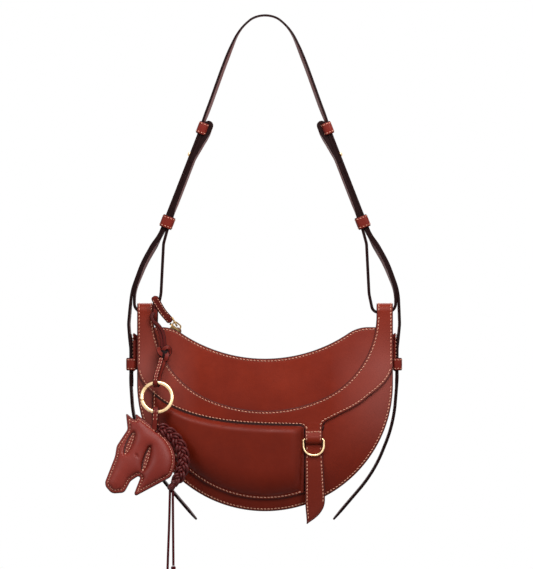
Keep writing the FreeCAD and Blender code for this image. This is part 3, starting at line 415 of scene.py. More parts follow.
def bent(points, step):
    """An even run of points along straight lines with round corners, as (x, y) or (x, y, radius)."""
    pts = [np.array(p[:2], float) for p in points]
    out = [pts[0][None]]
    for k in range(1, len(pts) - 1):
        r = points[k][2] if len(points[k]) > 2 else 0.0
        a, b = pts[k - 1] - pts[k], pts[k + 1] - pts[k]
        la, lb = np.linalg.norm(a), np.linalg.norm(b)
        a, b = a / la, b / lb
        half = math.acos(np.clip(a @ b, -1, 1)) / 2
        if r <= 0 or half > math.pi / 2 - 1e-4:
            out.append(pts[k][None])
            continue
        reach = min(r / math.tan(half), 0.49 * la, 0.49 * lb)
        r = reach * math.tan(half)
        mid = unit(a + b)
        c = pts[k] + mid * r / math.sin(half)
        sweep = math.pi - 2 * half
        ang = np.linspace(-sweep / 2, sweep / 2, max(5, int(sweep * r / step) + 2))[:, None]
        side = unit(b - mid * (b @ mid))
        out.append(c + r * (-mid * np.cos(ang) + side * np.sin(ang)))
    path = np.concatenate(out + [pts[-1][None]])
    return even(path, step)


def even(path, step):
    """A path sampled again at even steps of its length."""
    path = np.asarray(path, float)
    s = lengths(path)
    keep = np.concatenate([[True], np.diff(s) > 1e-9])
    s, path = s[keep], path[keep]
    u = np.linspace(0, s[-1], max(3, int(round(s[-1] / step)) + 1))
    return read_path(path, s, u)


def smooth_line(points, step):
    """A smooth curve through points of any dimension: chord-length cubic with flat-averaged slopes."""
    p = np.asarray(points, float)
    s = lengths(p)
    m = np.gradient(p, s, axis=0)
    u = np.linspace(0, s[-1], max(3, int(round(s[-1] / step)) + 1))
    k = np.clip(np.searchsorted(s, u, "right") - 1, 0, len(s) - 2)
    hgt = (s[k + 1] - s[k])[:, None]
    t = ((u - s[k])[:, None]) / hgt
    return ((2 * t ** 3 - 3 * t ** 2 + 1) * p[k] + (t ** 3 - 2 * t ** 2 + t) * hgt * m[k]
            + (3 * t ** 2 - 2 * t ** 3) * p[k + 1] + (t ** 3 - t ** 2) * hgt * m[k + 1])


def through(xs, ys, x):
    """A smooth function through points: the cubic of smooth_line, read at x."""
    line = smooth_line(np.stack([xs, ys], -1), 0.5)
    return np.interp(x, line[:, 0], line[:, 1])


# Stitching, gathered for each body and made at the end

SEWN = {}


def sew(body, path, normal, pitch=STITCH_PITCH, length=2.75, thick=0.56):
    """A row of saddle stitches along a path on a surface: each is a short bowed capsule, its ends sunk in
    the leather, slightly slanted to the row. Path in metres, normal per point or one for all."""
    path = np.asarray(path, float)
    s = lengths(path)
    n = max(1, int(s[-1] / (pitch * MM)))
    u = (np.arange(n) + 0.5) * s[-1] / n
    at = read_path(path, s, u)
    ahead = read_path(path, s, np.clip(u + 0.4 * MM, 0, s[-1]))
    behind = read_path(path, s, np.clip(u - 0.4 * MM, 0, s[-1]))
    up = read_path(np.broadcast_to(np.asarray(normal, float), path.shape), s, u)
    t = unit(ahead - behind)
    up = unit(up - t * np.sum(up * t, 1, keepdims=True))
    side = np.cross(t, up)
    t = t + STITCH_SLANT * side
    rows, cols = 5, 6
    f = np.linspace(-1, 1, rows)
    a = np.arange(cols) * 2 * np.pi / cols
    girth = thick * np.sqrt(1 - 0.75 * f ** 2)
    run = f[:, None] * length / 2 + 0 * a
    lift = (0.42 - 0.55 * f ** 2)[:, None] + girth[:, None] * np.sin(a) * 0.8
    wide = girth[:, None] * np.cos(a)
    local = np.stack([run, lift, wide], -1).reshape(-1, 3)
    tip = length / 2 + 0.15
    local = np.concatenate([local, [[-tip, -0.2, 0], [tip, -0.2, 0]]]) * MM
    v = at[:, None] + local[:, :1] * t[:, None] + local[:, 1:2] * up[:, None] + local[:, 2:] * side[:, None]
    quads = grid_faces(rows, cols, ring=True)
    j, last = np.arange(cols), (rows - 1) * cols
    caps = np.concatenate([np.stack([np.full(cols, rows * cols), (j + 1) % cols, j], -1),
                           np.stack([np.full(cols, rows * cols + 1), last + j, last + (j + 1) % cols], -1)])
    SEWN.setdefault(body, []).append((v, quads, caps))


def finish_sewing():
    """Joins the stitches of each body into one piece."""
    for body, rows in SEWN.items():
        verts, quads, caps, base = [], [], [], 0
        for v, q, c in rows:
            n, k = v.shape[:2]
            shift = base + np.arange(n)[:, None, None] * k
            verts.append(v.reshape(-1, 3))
            quads.append((q[None] + shift).reshape(-1, 4))
            caps.append((c[None] + shift).reshape(-1, 3))
            base += n * k
        faces = [np.concatenate(quads)[:, ::-1], np.concatenate(caps)[:, ::-1]]
        piece("stitching_" + body, np.concatenate(verts), faces, body, [THREAD])


# Bag body

OUT_FRONT = np.array([0.0, -math.cos(TILT), math.sin(TILT)])
OUT_BACK = OUT_FRONT * np.array([1.0, -1.0, 1.0])


def panel_top(x):
    """Upper edge of a panel: the mouth's hollow arc, a turned-out shoulder each side, level ends."""
    a = np.abs(x)
    mouth = MOUTH_Y - np.sqrt(MOUTH_R ** 2 - np.minimum(a, MOUTH_HALF) ** 2)
    beside = np.clip(a, MOUTH_HALF, SHOULDER_X) - SHOULDER_X
    return np.where(a <= MOUTH_HALF, mouth, SHOULDER_Y + np.sqrt(SHOULDER_R ** 2 - beside ** 2))


def round_bottom(x, radius=ROUND):
    """Lower edge of a panel: the half circle of the half moon."""
    return ROUND_Y - np.sqrt(np.maximum(radius ** 2 - np.asarray(x, float) ** 2, 0.0))


def dome(x, y):
    """How far the filled bag stands out of its flat panels: a paraboloid over the round body, proud in the
    middle and rolled back towards the rim, with a few slow waves; flat at the ears, level with the panel at
    the ring tab."""
    rise = np.where(y > ROUND_Y, 0.45, 1.0) * (y - ROUND_Y)
    far = (x ** 2 + rise ** 2) / ROUND ** 2
    shell = 8.0 * (0.45 - far)
    low = ease((-y - 60) / 60)
    roll = 4.2 * np.clip(1 - (1 - np.sqrt(far)) * ROUND / 36, 0, 1.1) ** 2 * ease((-y - 10) / 40)
    waves = 0.22 * np.sin(x / 19 + 1.3) * np.sin(y / 24 + 0.4) + 0.12 * np.sin((x + 0.7 * y) / 10.5)
    held = 1 - 0.78 * np.exp(-((x - DROP_X) ** 2 + (y + 146.0) ** 2) / (2 * 27.0 ** 2))
    waves = waves * np.sqrt(np.clip(1 - far, 0, 1)) * held
    return (np.maximum(shell, 0) + waves) * ease(-y / 45.0) + np.minimum(shell, 0) * low - roll


def worked(d, groove=SEAM_IN):
    """Height of the leather at distance d from a cut edge: rounded over there, drawn down at the seam."""
    return -0.55 * np.clip(1 - d / 1.4, 0, 1) ** 2 - 0.3 * np.exp(-((d - groove) / 0.7) ** 2)


def wear_and_shade_value(d):
    """Edge value of the leather at distance d from a cut edge: 0 at the edge, 1 beyond its reach.
    The pocket also gives it distances from places in shade, for painted shade.
    """
    return np.clip(d / EDGE_REACH, 0, 1)


def rim_gap(x, y):
    """Distance in from the bag's outer edge: the half circle below, straight sides above."""
    return ROUND - np.where(y < ROUND_Y, np.hypot(x, y - ROUND_Y), np.abs(x))


def make_panel(name, place, out, node_name):
    """A body panel: columns at x = R sin(a) from the round bottom to the mouth edge, raised by the dome."""
    x = ROUND * swing(181) * 0.99999
    top = panel_top(x)
    x2, y = columns(x, round_bottom(x), top, 72)
    d = np.minimum((top - y) / np.sqrt(1 + np.gradient(top, x) ** 2), rim_gap(x2, y))
    p = place(x2, y, FACE + dome(x2, y) + worked(d))
    o = sheet(name, p, out, 2.0, "bag", [CALF, PAINT], edge=wear_and_shade_value(d))
    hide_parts(node_name)


make_panel("front_panel_leather", front, OUT_FRONT, "front_panel")
make_panel("back_panel_leather", back, OUT_BACK, "back_panel")


def hem_line(drop):
    """Lower edge of the yoke from left to right: a smooth bow, on the front with the drop over the ring."""
    bow = np.array([(-138, -60), (-136, -68.5), (-130.4, -79.1), (-122.3, -88.1), (-115.2, -94.2),
                    (-107.2, -100), (-97.1, -105.2), (-85, -110.2), (-69, -115), (-48.8, -119.2),
                    (-28.7, -121.8), (-8.7, -123.2), (0, -123.6), (11, -123.9), (26, -124.2), (30, -124.3)])
    other = np.array([(72.3, -115.9), (82.2, -110.8), (92.2, -105.8), (102.3, -99.7), (112.3, -91.7),
                      (122.4, -83.6), (129.6, -76.4), (134.6, -69), (138, -60)])
    if drop:
        down = bent([(30, -124.3), (43, -124.5, 9.8), (43.02, -135)], 0.6)
        up = bent([(43.02, -131), (61.58, -131), (61.6, -121.4, 11), (72.3, -115.9)], 0.6)
        line = np.concatenate([smooth_line(bow, 0.6)[:-1], down[down[:, 1] > -130.9], up,
                               smooth_line(other, 0.6)[1:]])
    else:
        half = bow[bow[:, 0] < 1]
        line = smooth_line(np.concatenate([half, half[-2::-1] * [-1, 1]]), 0.6)
    line[:, 0] = np.maximum.accumulate(line[:, 0] + 1e-7 * np.arange(len(line)))
    return line


def yoke_top(x):
    """Upper edge of the yoke between its ears: a hollow arc, then a tighter one up to each ear."""
    a = np.abs(x)
    middle = YOKE_Y - np.sqrt(YOKE_R ** 2 - np.minimum(a, YOKE_HALF) ** 2)
    beside = np.clip(a, YOKE_HALF, EAR_IN) - EAR_X
    side = EAR_Y - np.sqrt(np.maximum(EAR_R ** 2 - beside ** 2, 0))
    return np.where(a <= YOKE_HALF, middle, side)


def yoke_gap(x, y, hem):
    """Distance in from the yoke's nearest cut edge: its hollow top, the ears' sides and the hem."""
    a = np.abs(x)
    ear = np.where(y < EAR_Y, np.hypot(a - EAR_X, y - EAR_Y) - EAR_R, a - EAR_IN)
    top = np.where(a <= YOKE_HALF, np.hypot(x, y - YOKE_Y) - YOKE_R, ear)
    line = hem[::2]
    low = np.sqrt(((x[..., None] - line[:, 0]) ** 2 + (y[..., None] - line[:, 1]) ** 2).min(-1))
    return np.maximum(np.minimum(np.minimum(top, ROUND - a), low), 0)


def from_axis(p):
    """The way from the axis of the ear tunnels to points, in metres."""
    return (p - np.array([0, 0, AXIS_Z * MM])) * np.array([0, 1, 1])


def welded(name, grids, thick, bevel=0.5):
    """Grids of points, outward directions and edge values, joined into one sheet where points meet."""
    verts, faces, edges, base = [], [], [], 0
    for p, out, e in grids:
        faces.append(faced(p, out) + base)
        verts.append(p.reshape(-1, 3))
        edges.append(np.ravel(e))
        base += len(verts[-1])
    verts, edges = np.concatenate(verts), np.concatenate(edges)
    _, first, back_to = np.unique(np.round(verts / 2e-6).astype(np.int64), axis=0, return_index=True,
                                  return_inverse=True)
    quads = np.ravel(back_to)[np.concatenate(faces)]
    o = piece(name, verts[first], quads, "bag", [CALF, PAINT], edge=edges[first])
    return thicken(o, thick, bevel)


def make_yoke(name, place, out, drop, fold, node_name):
    """The yoke: columns from the hem to the hollow top, and an ear at each side that runs on straight up;
    the front ears turn over the strap on a round of the tunnel's radius."""
    hem = hem_line(drop)
    x = EAR_IN * swing(151)
    if drop:
        x = np.union1d(x, np.concatenate([np.linspace(30, 76, 64), [43.0, 43.04, 61.56, 61.61]]))
    rows = 36
    x2, y = columns(x, np.interp(x, *hem.T), yoke_top(x), rows)
    d = yoke_gap(x2, y, hem)
    grids = [(place(x2, y, YOKE_FACE + dome(x2, y) + worked(d)), out, wear_and_shade_value(d))]
    for s in (-1, 1):
        x = s * (EAR_IN + (ROUND - EAR_IN) * crowd(19))
        _, y = columns(x, np.interp(x, *hem.T), EAR_Y, rows)
        y = np.concatenate([y, np.linspace(EAR_Y + 1, 0, 4)[:, None] + 0 * x])
        x2 = np.broadcast_to(x, y.shape)
        d = yoke_gap(x2, y, hem)
        w = YOKE_FACE + dome(x2, y) + worked(d)
        if fold:
            turn = np.linspace(np.pi / 2, -np.pi / 2 + 2 * TILT, 26)[1:, None]
            side = np.minimum(np.abs(x) - EAR_IN, ROUND - np.abs(x))
            r = YOKE_FACE + worked(side)
            y = np.concatenate([y, r * np.cos(turn)])
            w = np.concatenate([w, r * np.sin(turn)])
            d = np.concatenate([d, np.broadcast_to(side, (len(turn), len(x)))])
            x2 = np.broadcast_to(x, y.shape)
        p = place(x2, y, w)
        axis = np.where(y > -0.001, 1.0, 0.0)[..., None]
        outward = axis * from_axis(p) / (YOKE_FACE * MM)
        grids.append((p, outward + (1 - axis) * out, wear_and_shade_value(d)))
    o = welded(name, grids, 2.2)
    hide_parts(node_name)
    return hem


HEM = make_yoke("front_yoke_leather", front, OUT_FRONT, True, True, "front_yoke")
BACK_HEM = make_yoke("back_yoke_leather", back, OUT_BACK, False, False, "back_yoke")


def arch(t):
    """Quarter-round rise from 0 to 1, a little softened at its foot."""
    t = np.clip(t, 0, 1)
    return np.sqrt(1 - (1 - t) ** 2) ** 1.25


def pocket_height(x, y):
    """The moulded pocket: a narrow flat flange, then a pillow that is the product of quarter-round rises
    from each side, steep at its top and right end, slow at its round bottom."""
    hem_y = np.interp(x, *HEM.T)
    left, right = x + 118.0, 40.6 + 0.03 * (y + 124) - x
    bottom, top = 121.9 - np.hypot(x, y - ROUND_Y), hem_y - 1.2 - y
    flange, high = 2.3, 9.6
    return flange + high * (arch(left / 19) * arch(right / 15) * arch(bottom / 27) * arch(top / 9))


def make_pocket():
    """The pocket's leather: columns from its round bottom to under the hem, at the pillow's height."""
    x = POCKET_LEFT + (POCKET_RIGHT - POCKET_LEFT) * crowd(170)
    hem_y = np.interp(x, *HEM.T)
    x2, y = columns(x, round_bottom(x, POCKET_R), hem_y + 2.2, 96)
    d = np.minimum(np.minimum(x2 - POCKET_LEFT, POCKET_RIGHT - x2), POCKET_R - np.hypot(x2, y - ROUND_Y))
    w = FACE + dome(x2, y) + pocket_height(x2, y) + worked(d)
    # Edge value: the cut edges, plus a painted shadow in a thin line under the yoke's hem and painted shade
    # across the pocket's right end.
    dark = np.minimum(np.minimum(d, (hem_y - y - 0.2) * 2.0), 0.9 + 0.26 * (POCKET_RIGHT - x2))
    o = sheet("front_pocket_leather", front(x2, y, w), OUT_FRONT, 2.2, "bag", [CALF_POCKET, PAINT],
              edge=wear_and_shade_value(dark), bevel=0.4)
    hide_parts("front_pocket")


make_pocket()


def make_gusset():
    """The gusset: the U of the bag's edge by its depth, drawn in between the seams lower down."""
    a = np.linspace(np.pi, 2 * np.pi, 121)
    rise = np.linspace(-19.1, ROUND_Y, 23)[:-1]
    edge = np.full(len(rise), GUSSET_R)
    x = np.concatenate([-edge, GUSSET_R * np.cos(a), edge])
    y = np.concatenate([rise, ROUND_Y + GUSSET_R * np.sin(a), rise[::-1]])
    v = np.linspace(-1, 1, 25)[:, None]
    seams = front(x, y, FACE - 2.0 + dome(x, y))
    nx = np.where(y < ROUND_Y, x / GUSSET_R, np.sign(x))
    nz = np.where(y < ROUND_Y, (y - ROUND_Y) / GUSSET_R, 0.0)
    draw = (3.6 * ease((-y - 78) / 45) * (1 - v ** 2) + 0.25 * np.sin(y / 9 + 2 * v)) * MM
    p = np.stack([seams[:, 0] - draw * nx, -v * seams[:, 1], seams[:, 2] - draw * nz], -1)
    out = np.stack(np.broadcast_arrays(nx, 0 * nx, nz), -1)[None]
    o = welded("gusset_leather", [(p, out, wear_and_shade_value((1 - np.abs(v)) * 14) + 0 * draw)], 2.0, bevel=0)
    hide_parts("gusset")


make_gusset()


def make_lining(name, place, out, node_name):
    """Lining cloth of one panel: the panel's shape drawn in by 3 mm, lying just inside it."""
    x = LINING_R * swing(91) * 0.9999
    x2, y = columns(x, round_bottom(x, LINING_R), panel_top(x) - 3.0, 40)
    p = place(x2, y, FACE - 2.1 + dome(x2, y))
    o = sheet(name, p, -out, 0.8, "bag", [CLOTH, CLOTH], bevel=0)
    o.modifiers["thickness"].offset = 1.0
    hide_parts(node_name)


make_lining("front_lining_cloth", front, OUT_FRONT, "front_lining")
make_lining("back_lining_cloth", back, OUT_BACK, "back_lining")


def make_slip_pocket():
    """The inside slip pocket: cloth with round lower corners, standing off the lining at its mouth."""
    half, corner, stands = 60, 12, 5.6
    u = np.linspace(-1, 1, 61)
    turn = np.clip(np.abs(u) * half - half + corner, 0, corner)
    inset = corner - np.sqrt(np.maximum(corner ** 2 - turn ** 2, 0))
    v = np.linspace(0, 1, 36)[:, None]
    y = -178 + inset + (82 - inset) * v
    x2 = np.broadcast_to(half * u, y.shape)
    bow = stands * np.sqrt(np.clip(1 - u ** 2, 0, 1))
    p = back(x2, y, FACE - 3.1 - bow * ease(v / 0.35) * (0.75 + 0.25 * v) + dome(x2, y))
    o = sheet("slip_pocket_cloth", p, -OUT_BACK, 1.0, "bag", [CLOTH, CLOTH], bevel=0)
    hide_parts("inner_pocket")
    x, hem_y = half * u[3:-3], -98.2
    sew("bag", back(x, hem_y, FACE - 3.4 - bow[3:-3] + dome(x, hem_y)), -OUT_BACK)


make_slip_pocket()


def seam(x, y, level, out=OUT_FRONT, place=front):
    """A stitched row on the body at panel points (x, y), on a layer of the given height."""
    x, y = np.asarray(x, float), np.asarray(y, float)
    sew("bag", place(x, y, level + dome(x, y) - 0.28), out)


def moved(line, by):
    """A flat line moved sideways, to the left of its own direction."""
    t = unit(np.gradient(line, axis=0))
    return line + by * np.stack([-t[:, 1], t[:, 0]], -1)


def sew_body():
    """Seams of both faces: mouth edge, round bottom, yoke top and hem, and the ears over the strap."""
    for place, out, hem in ((front, OUT_FRONT, HEM), (back, OUT_BACK, BACK_HEM)):
        x = np.linspace(-119, 119, 400)
        mouth = moved(np.stack([x, panel_top(x)], -1), -SEAM_IN)
        seam(*mouth.T, FACE, out, place)
        a, r = np.linspace(np.pi + 0.02, 2 * np.pi - 0.02, 500), ROUND - SEAM_IN
        seam(r * np.cos(a), ROUND_Y + r * np.sin(a), FACE, out, place)
        x = EAR_IN * swing(400)
        top = moved(np.stack([x, yoke_top(x)], -1), -SEAM_IN)
        seam(*top[2:-2].T, YOKE_FACE, out, place)
        if place is front:
            runs = [hem[hem[:, 0] < 42.9], hem[hem[:, 0] > 61.7]]
        else:
            runs = [hem]
        for run in runs:
            low = moved(run, 2.2)
            seam(*low[np.abs(low[:, 0]) < ROUND - 3].T, YOKE_FACE, out, place)
        for s in (-1, 1):
            seam(np.full(60, s * (ROUND - SEAM_IN)), np.linspace(-58, 0, 60), YOKE_FACE, out, place)
    turn = np.linspace(np.pi / 2, -np.pi / 2 + 2 * TILT, 60)
    r = YOKE_FACE - 0.25
    for x in (EAR_IN + SEAM_IN, ROUND - SEAM_IN):
        for s in (-1, 1):
            p = front(np.full(60, s * x), r * np.cos(turn), r * np.sin(turn))
            sew("bag", p, from_axis(p) / (r * MM))
    a, r, flange = np.linspace(np.pi + 0.27, 2 * np.pi - 1.25, 300), 123.8, FACE + 2.4
    seam(r * np.cos(a), ROUND_Y + r * np.sin(a), flange)
    seam(np.full(40, -119.3), np.linspace(-112, -86, 40), flange)


sew_body()


# Straps: a flat profile carried along a path

def slab_profile(width, thick, corner=0.55):
    """A strap's section as (across, through) points: a rectangle with round corners and slightly domed
    faces. Also says which of its sides are cut edges."""
    r = min(corner, thick * 0.49)
    a = np.linspace(0, np.pi / 2, 5)
    quarter = np.stack([np.cos(a), np.sin(a)], -1) * r
    corner_at = np.array([width / 2 - r, thick / 2 - r])
    face = np.linspace(1, -1, 8)[1:-1, None] * np.array([[width / 2 - r, 0]]) + np.array([[0, thick / 2]])
    top = np.concatenate([quarter + corner_at, face, (quarter * [-1, 1])[::-1] + corner_at * [-1, 1]])
    ring = np.concatenate([top, -top])
    dome_up = 0.1 * np.sign(ring[:, 1]) * np.clip(1 - (2 * ring[:, 0] / width) ** 2, 0, 1)
    mid = (ring + np.roll(ring, -1, 0)) / 2
    return ring + np.stack([0 * dome_up, dome_up], -1), np.abs(mid[:, 0]) > width / 2 - r * 0.98


def carried(name, path, across, profile, cut, body, mats, closed=False, scale=None, twist=None,
            shade=None):
    """A closed profile carried along a path of points (metres): its first axis lies along the across
    direction, made square to the path, and its second along the path's other normal. scale shrinks it,
    twist turns it and shade is its edge value, per point."""
    path = np.asarray(path, float)
    t = unit(round_way(path) if closed else np.gradient(path, axis=0))
    u = np.broadcast_to(np.asarray(across, float), path.shape)
    u = unit(u - t * np.sum(u * t, 1, keepdims=True))
    v = np.cross(t, u)
    if twist is not None:
        c, s = np.cos(twist)[:, None], np.sin(twist)[:, None]
        u, v = c * u + s * v, c * v - s * u
    section = np.broadcast_to(profile, (len(path),) + profile.shape[-2:])
    if scale is not None:
        section = section * np.asarray(scale, float).reshape(len(path), 1, -1)
    p = path[:, None] + (section[..., :1] * u[:, None] + section[..., 1:] * v[:, None]) * MM
    rows, cols = p.shape[:2]
    quads = grid_faces(rows, cols, ring=True, tube=closed)
    mats_of = np.tile(np.asarray(cut, int), rows if closed else rows - 1)
    faces = [quads]
    if not closed:
        faces += [np.arange(cols)[None, ::-1], (np.arange(cols) + (rows - 1) * cols)[None]]
        mats_of = np.concatenate([mats_of, [1, 1]])
    inward = np.cross(p[1, 0] - p[0, 0], p[0, 1] - p[0, 0]) @ (p[0, 0] - p[0].mean(0)) > 0
    if inward:
        faces = [f[:, ::-1] for f in faces]
    edge = None if shade is None else np.repeat(shade, cols)
    return piece(name, p, faces, body, mats, face_mat=mats_of, edge=edge)


STRAP_MATS = [CALF_STRAP, PAINT]


def polar(radius, angle):
    """A point about the centre of the bag's round, in the strap's plane; angle in degrees."""
    a = math.radians(angle)
    return radius * math.cos(a), AXIS_Z + ROUND_Y + radius * math.sin(a)


def branch_turn(drop):
    """How far both layers of the outer branch are turned about their own lines, in radians, at a drop below
    the crown: most just under the lower keeper, none where the layers part."""
    return math.radians(12.5) * ease((drop - 236) / 14) * (1 - ease((drop - 256) / 60))


def make_long_strap():
    """The long strap from tail tip over the crown to tail tip, edge on from the front, its legs turned
    a little so that the inner face shows, its tips blunt. The left leg stands further out beside the ear."""
    crown = np.array([(0, 0.6), (7, -0.2), (13.6, -2.7), (19.7, -7.4), (25.2, -13.2), (29.6, -19.6),
                      (35.7, -32.4), (41.0, -45.4), (45.9, -58.3), (50.6, -71.3), (55.2, -84.2),
                      (59.9, -97.2), (64.9, -110.2)])
    legs = [bent([along(190), along(310) + (40,), (132.0, -267.4, 130), (144.0, -297.5, 60),
                  (145.3 + 0.8 * out, -333, 36), (142.9 + out, -358, 40), (142.9 + out, -390, 60),
                  (138.8 + 1.4 * out, -440, 150), polar(151.1, -38.7) + (150,), polar(163.7, -63.2)], 1.0)
            for out in (2.3, 0.0)]
    top = smooth_line(np.concatenate([crown[:0:-1] * [-1, 1], crown]), 1.0)
    step = 2.0
    flat = even(np.concatenate([legs[0][::-1] * [-1, 1], top, legs[1]]), step)
    far = np.abs(np.linspace(-1, 1, len(flat))) * step * (len(flat) - 1) / 2
    twist = -math.radians(11) * ease((far - 22) / 45) * (1 - ease((far - 125) / 35))
    drop = -flat[:, 1]
    above, below = np.where(flat[:, :1] < 0, (5.0, 4.5), (2.5, 3.0)).T
    twist -= branch_turn(drop) + np.radians(above) * ease((drop - 298) / 22) * (1 - ease((drop - 346) / 18))
    twist -= np.radians(below) * ease((drop - 384) / 16)
    blunt = 0.5 + 0.5 * np.sqrt(np.clip((far.max() - far) / 14, 0, 1))
    thick = 0.8 + 0.2 * ease((far - 20) / 60)
    profile, cut = slab_profile(STRAP_WIDE, 2.6)
    o = carried("long_strap", upright(*flat.T), (0, 1, 0), profile, cut, None, STRAP_MATS,
                scale=np.stack([blunt, thick * blunt], -1), twist=twist)
    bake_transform(o)
    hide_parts("shoulder_strap", "left_tail", "right_tail")


make_long_strap()

BRANCH = [along(292, 2.9), along(310, 2.9) + (40,), (129.3, -266.4, 130), (141.1, -297, 57)]
LOOP = [along(229.5, 2.9), along(181, 2.9) + (3.6,), along(181, 10.2) + (3.6,), along(193, 10.2) + (14,),
        along(206, 7.8) + (24,), along(224, 4.9) + (40,), along(280, 5.0) + (20,), along(292, 5.9) + (20,),
        along(306, 6.0) + (20,), (109.6, -246, 20), (112.3, -300, 40), (116.5, -320, 7), (141.1, -320, 9.5)]


def make_loop_strap(side, s):
    """A loop strap: fold at the upper keeper, down the inner side, through the ear's tunnel and up the
    outer branch; its inner leg is turned a little so that its face shows, and a layer fills the fold and
    the space above the lower keeper."""
    flat = bent(LOOP + BRANCH[::-1], 1.5)
    run = lengths(flat)
    twist = -s * math.radians(8) * ease((run - 58) / 16) * (1 - ease((run - 148) / 14))
    outer = run >= run[np.argmax(flat[:, 0])]
    twist += s * np.where(outer, branch_turn(-flat[:, 1]), 0)
    profile, cut = slab_profile(STRAP_WIDE, 3.0)
    o = carried(side + "_loop_strap_leather", upright(s * flat[:, 0], flat[:, 1]), (0, 1, 0), profile, cut,
                "strap", STRAP_MATS, twist=twist)
    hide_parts(side + "_loop_strap")
    station = np.linspace(182.6, 299, 76)
    over = through([175, 193, 206, 224, 280, 292, 306], [10.2, 10.1, 7.9, 5.0, 5.0, 5.8, 6.0], station) - 1.3
    under = np.where(station < 226, 4.3, 1.2)
    x, z = along(station, (over + under) / 2)
    profile, cut = slab_profile(13.2, 1.0, 0.4)
    carried(side + "_strap_inner_layer", upright(s * x, z), (0, 1, 0), profile, cut, "strap", STRAP_MATS,
            scale=np.stack([np.ones(len(station)), np.clip(over - under, 0.25, 9)], -1))


KEEPER_WALL, KEEPER_LONG, KEEPER_DEEP = 2.0, 13.5, 14.6


def round_box(a, b, radius, step):
    """A rectangle of half sides a and b with round corners, as a closed run from the middle of one side."""
    return bent([(a, 0), (a, b, radius), (-a, b, radius), (-a, -b, radius), (a, -b, radius), (a, 0)], step)


def make_keeper(name, at, lean, wide, body, node_name):
    """A keeper: the section of its wall, length by thickness with a puffed outer face, carried round a
    rectangle with round corners; a stitched row near each end."""
    ax = np.array([math.cos(lean), 0, math.sin(lean)])
    up = np.array([-math.sin(lean), 0, math.cos(lean)])
    yv = np.array([0.0, 1.0, 0.0])
    wall = KEEPER_WALL / 2
    a, b = wide / 2 + wall, KEEPER_DEEP / 2 + wall
    loop = round_box(a, b, 2.2, 0.7)[:-1]
    centre = np.array([at[0], 0, at[1]])
    path = (centre + loop[:, :1] * ax + loop[:, 1:] * yv) * MM
    profile, cut = slab_profile(KEEPER_LONG, KEEPER_WALL, 0.6)
    puff = np.where(profile[:, 1] > 0, 0.35 * np.clip(1 - (2 * profile[:, 0] / KEEPER_LONG) ** 4, 0, 1), 0)
    flip = np.sign(np.sum(np.cross(unit(round_way(path)), up) * (path - centre * MM)))
    profile = (profile + np.stack([0 * puff, puff], -1)) * [1, flip]
    o = carried(name, path, up, profile, cut, body, [CALF_THONG, PAINT], closed=True)
    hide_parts(node_name)
    outer = round_box(a + wall, b + wall, 3, 0.4)
    across, through_it = outer[:, :1] * ax, outer[:, 1:] * yv
    for h in (2.1 - KEEPER_LONG / 2, KEEPER_LONG / 2 - 2.1):
        sew(body, (centre + across + through_it + h * up) * MM, across + through_it * a / b, pitch=FINE_PITCH,
            length=2.3, thick=0.45)


def make_side_tab(side, s):
    """A tab on the gusset: columns across its width with a round top. The left one stands out more."""
    face = 140.4 + (2.0 if s < 0 else 0.7)
    half = 9
    y = half * swing(31)
    top = -350 + np.sqrt(np.maximum(64 - np.clip(np.abs(y) - 1, 0, 8) ** 2, 0))
    low = -382 - np.sqrt(np.maximum(4 - np.clip(np.abs(y) - 7, 0, 2) ** 2, 0))
    y2, z = columns(y, low, top, 30)
    d = np.minimum(np.minimum(half - np.abs(y2), z - low), top - z)
    x = s * (face + worked(d, 2.0))
    o = sheet(side + "_side_tab", upright(x, z, y2), (s, 0, 0), face - GUSSET_R, "bag",
              [CALF_THONG, CALF_THONG], edge=np.clip(0.2 + d / EDGE_REACH, 0, 1))
    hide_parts(side + "_gusset_tab")
    ring = bent([(0, -344.1), (-7, -344.1, 6), (-7, -382, 1), (7, -382, 1), (7, -344.1, 6), (0, -344.1)], 0.5)
    sew("bag", upright(s * (face - 0.25), ring[:, 1], ring[:, 0]), (s, 0, 0))


def make_keeper_backing(side, s):
    """The strip that backs a tail keeper, between the tab and the tail, thinner above and below."""
    at, thick = (143.05, 1.7) if s < 0 else (141.15, 1.0)
    flat = bent([(at + 1.1, -343.5), (at, -358, 40), (at, -390, 40), (at - 0.7, -400)], 1.0)
    k = np.arange(len(flat))
    end = np.minimum(k, k[::-1])
    profile, cut = slab_profile(12, thick, 0.4)
    carried(side + "_keeper_backing", upright(s * flat[:, 0], flat[:, 1]), (0, 1, 0), profile, cut, "bag",
            STRAP_MATS, scale=np.stack([np.ones(len(flat)), 0.3 + 0.7 * ease(end / 8)], -1))


for side_name, sgn in (("left", -1), ("right", 1)):
    make_loop_strap(side_name, sgn)
    make_side_tab(side_name, sgn)
    make_keeper_backing(side_name, sgn)
    tail_at = (142.95 if sgn > 0 else -144.9, -376.0)
    make_keeper(side_name + "_tail_keeper", tail_at, 0.0, 5.1, "bag", side_name + "_gusset_keeper")
    for which, station, width, rides in (("lower", 298.0, 9.4, side_name + "_lower_keeper"),
                                         ("upper", 190.0, 6.3, "strap")):
        kx, kz = along(station, width / 2 - 1.6)
        keeper = "%s_%s_keeper" % (side_name, which)
        make_keeper(keeper + "_leather", (sgn * kx, kz), sgn * LEAN, width, rides, keeper)


# Ring tab and hanging tab on the front

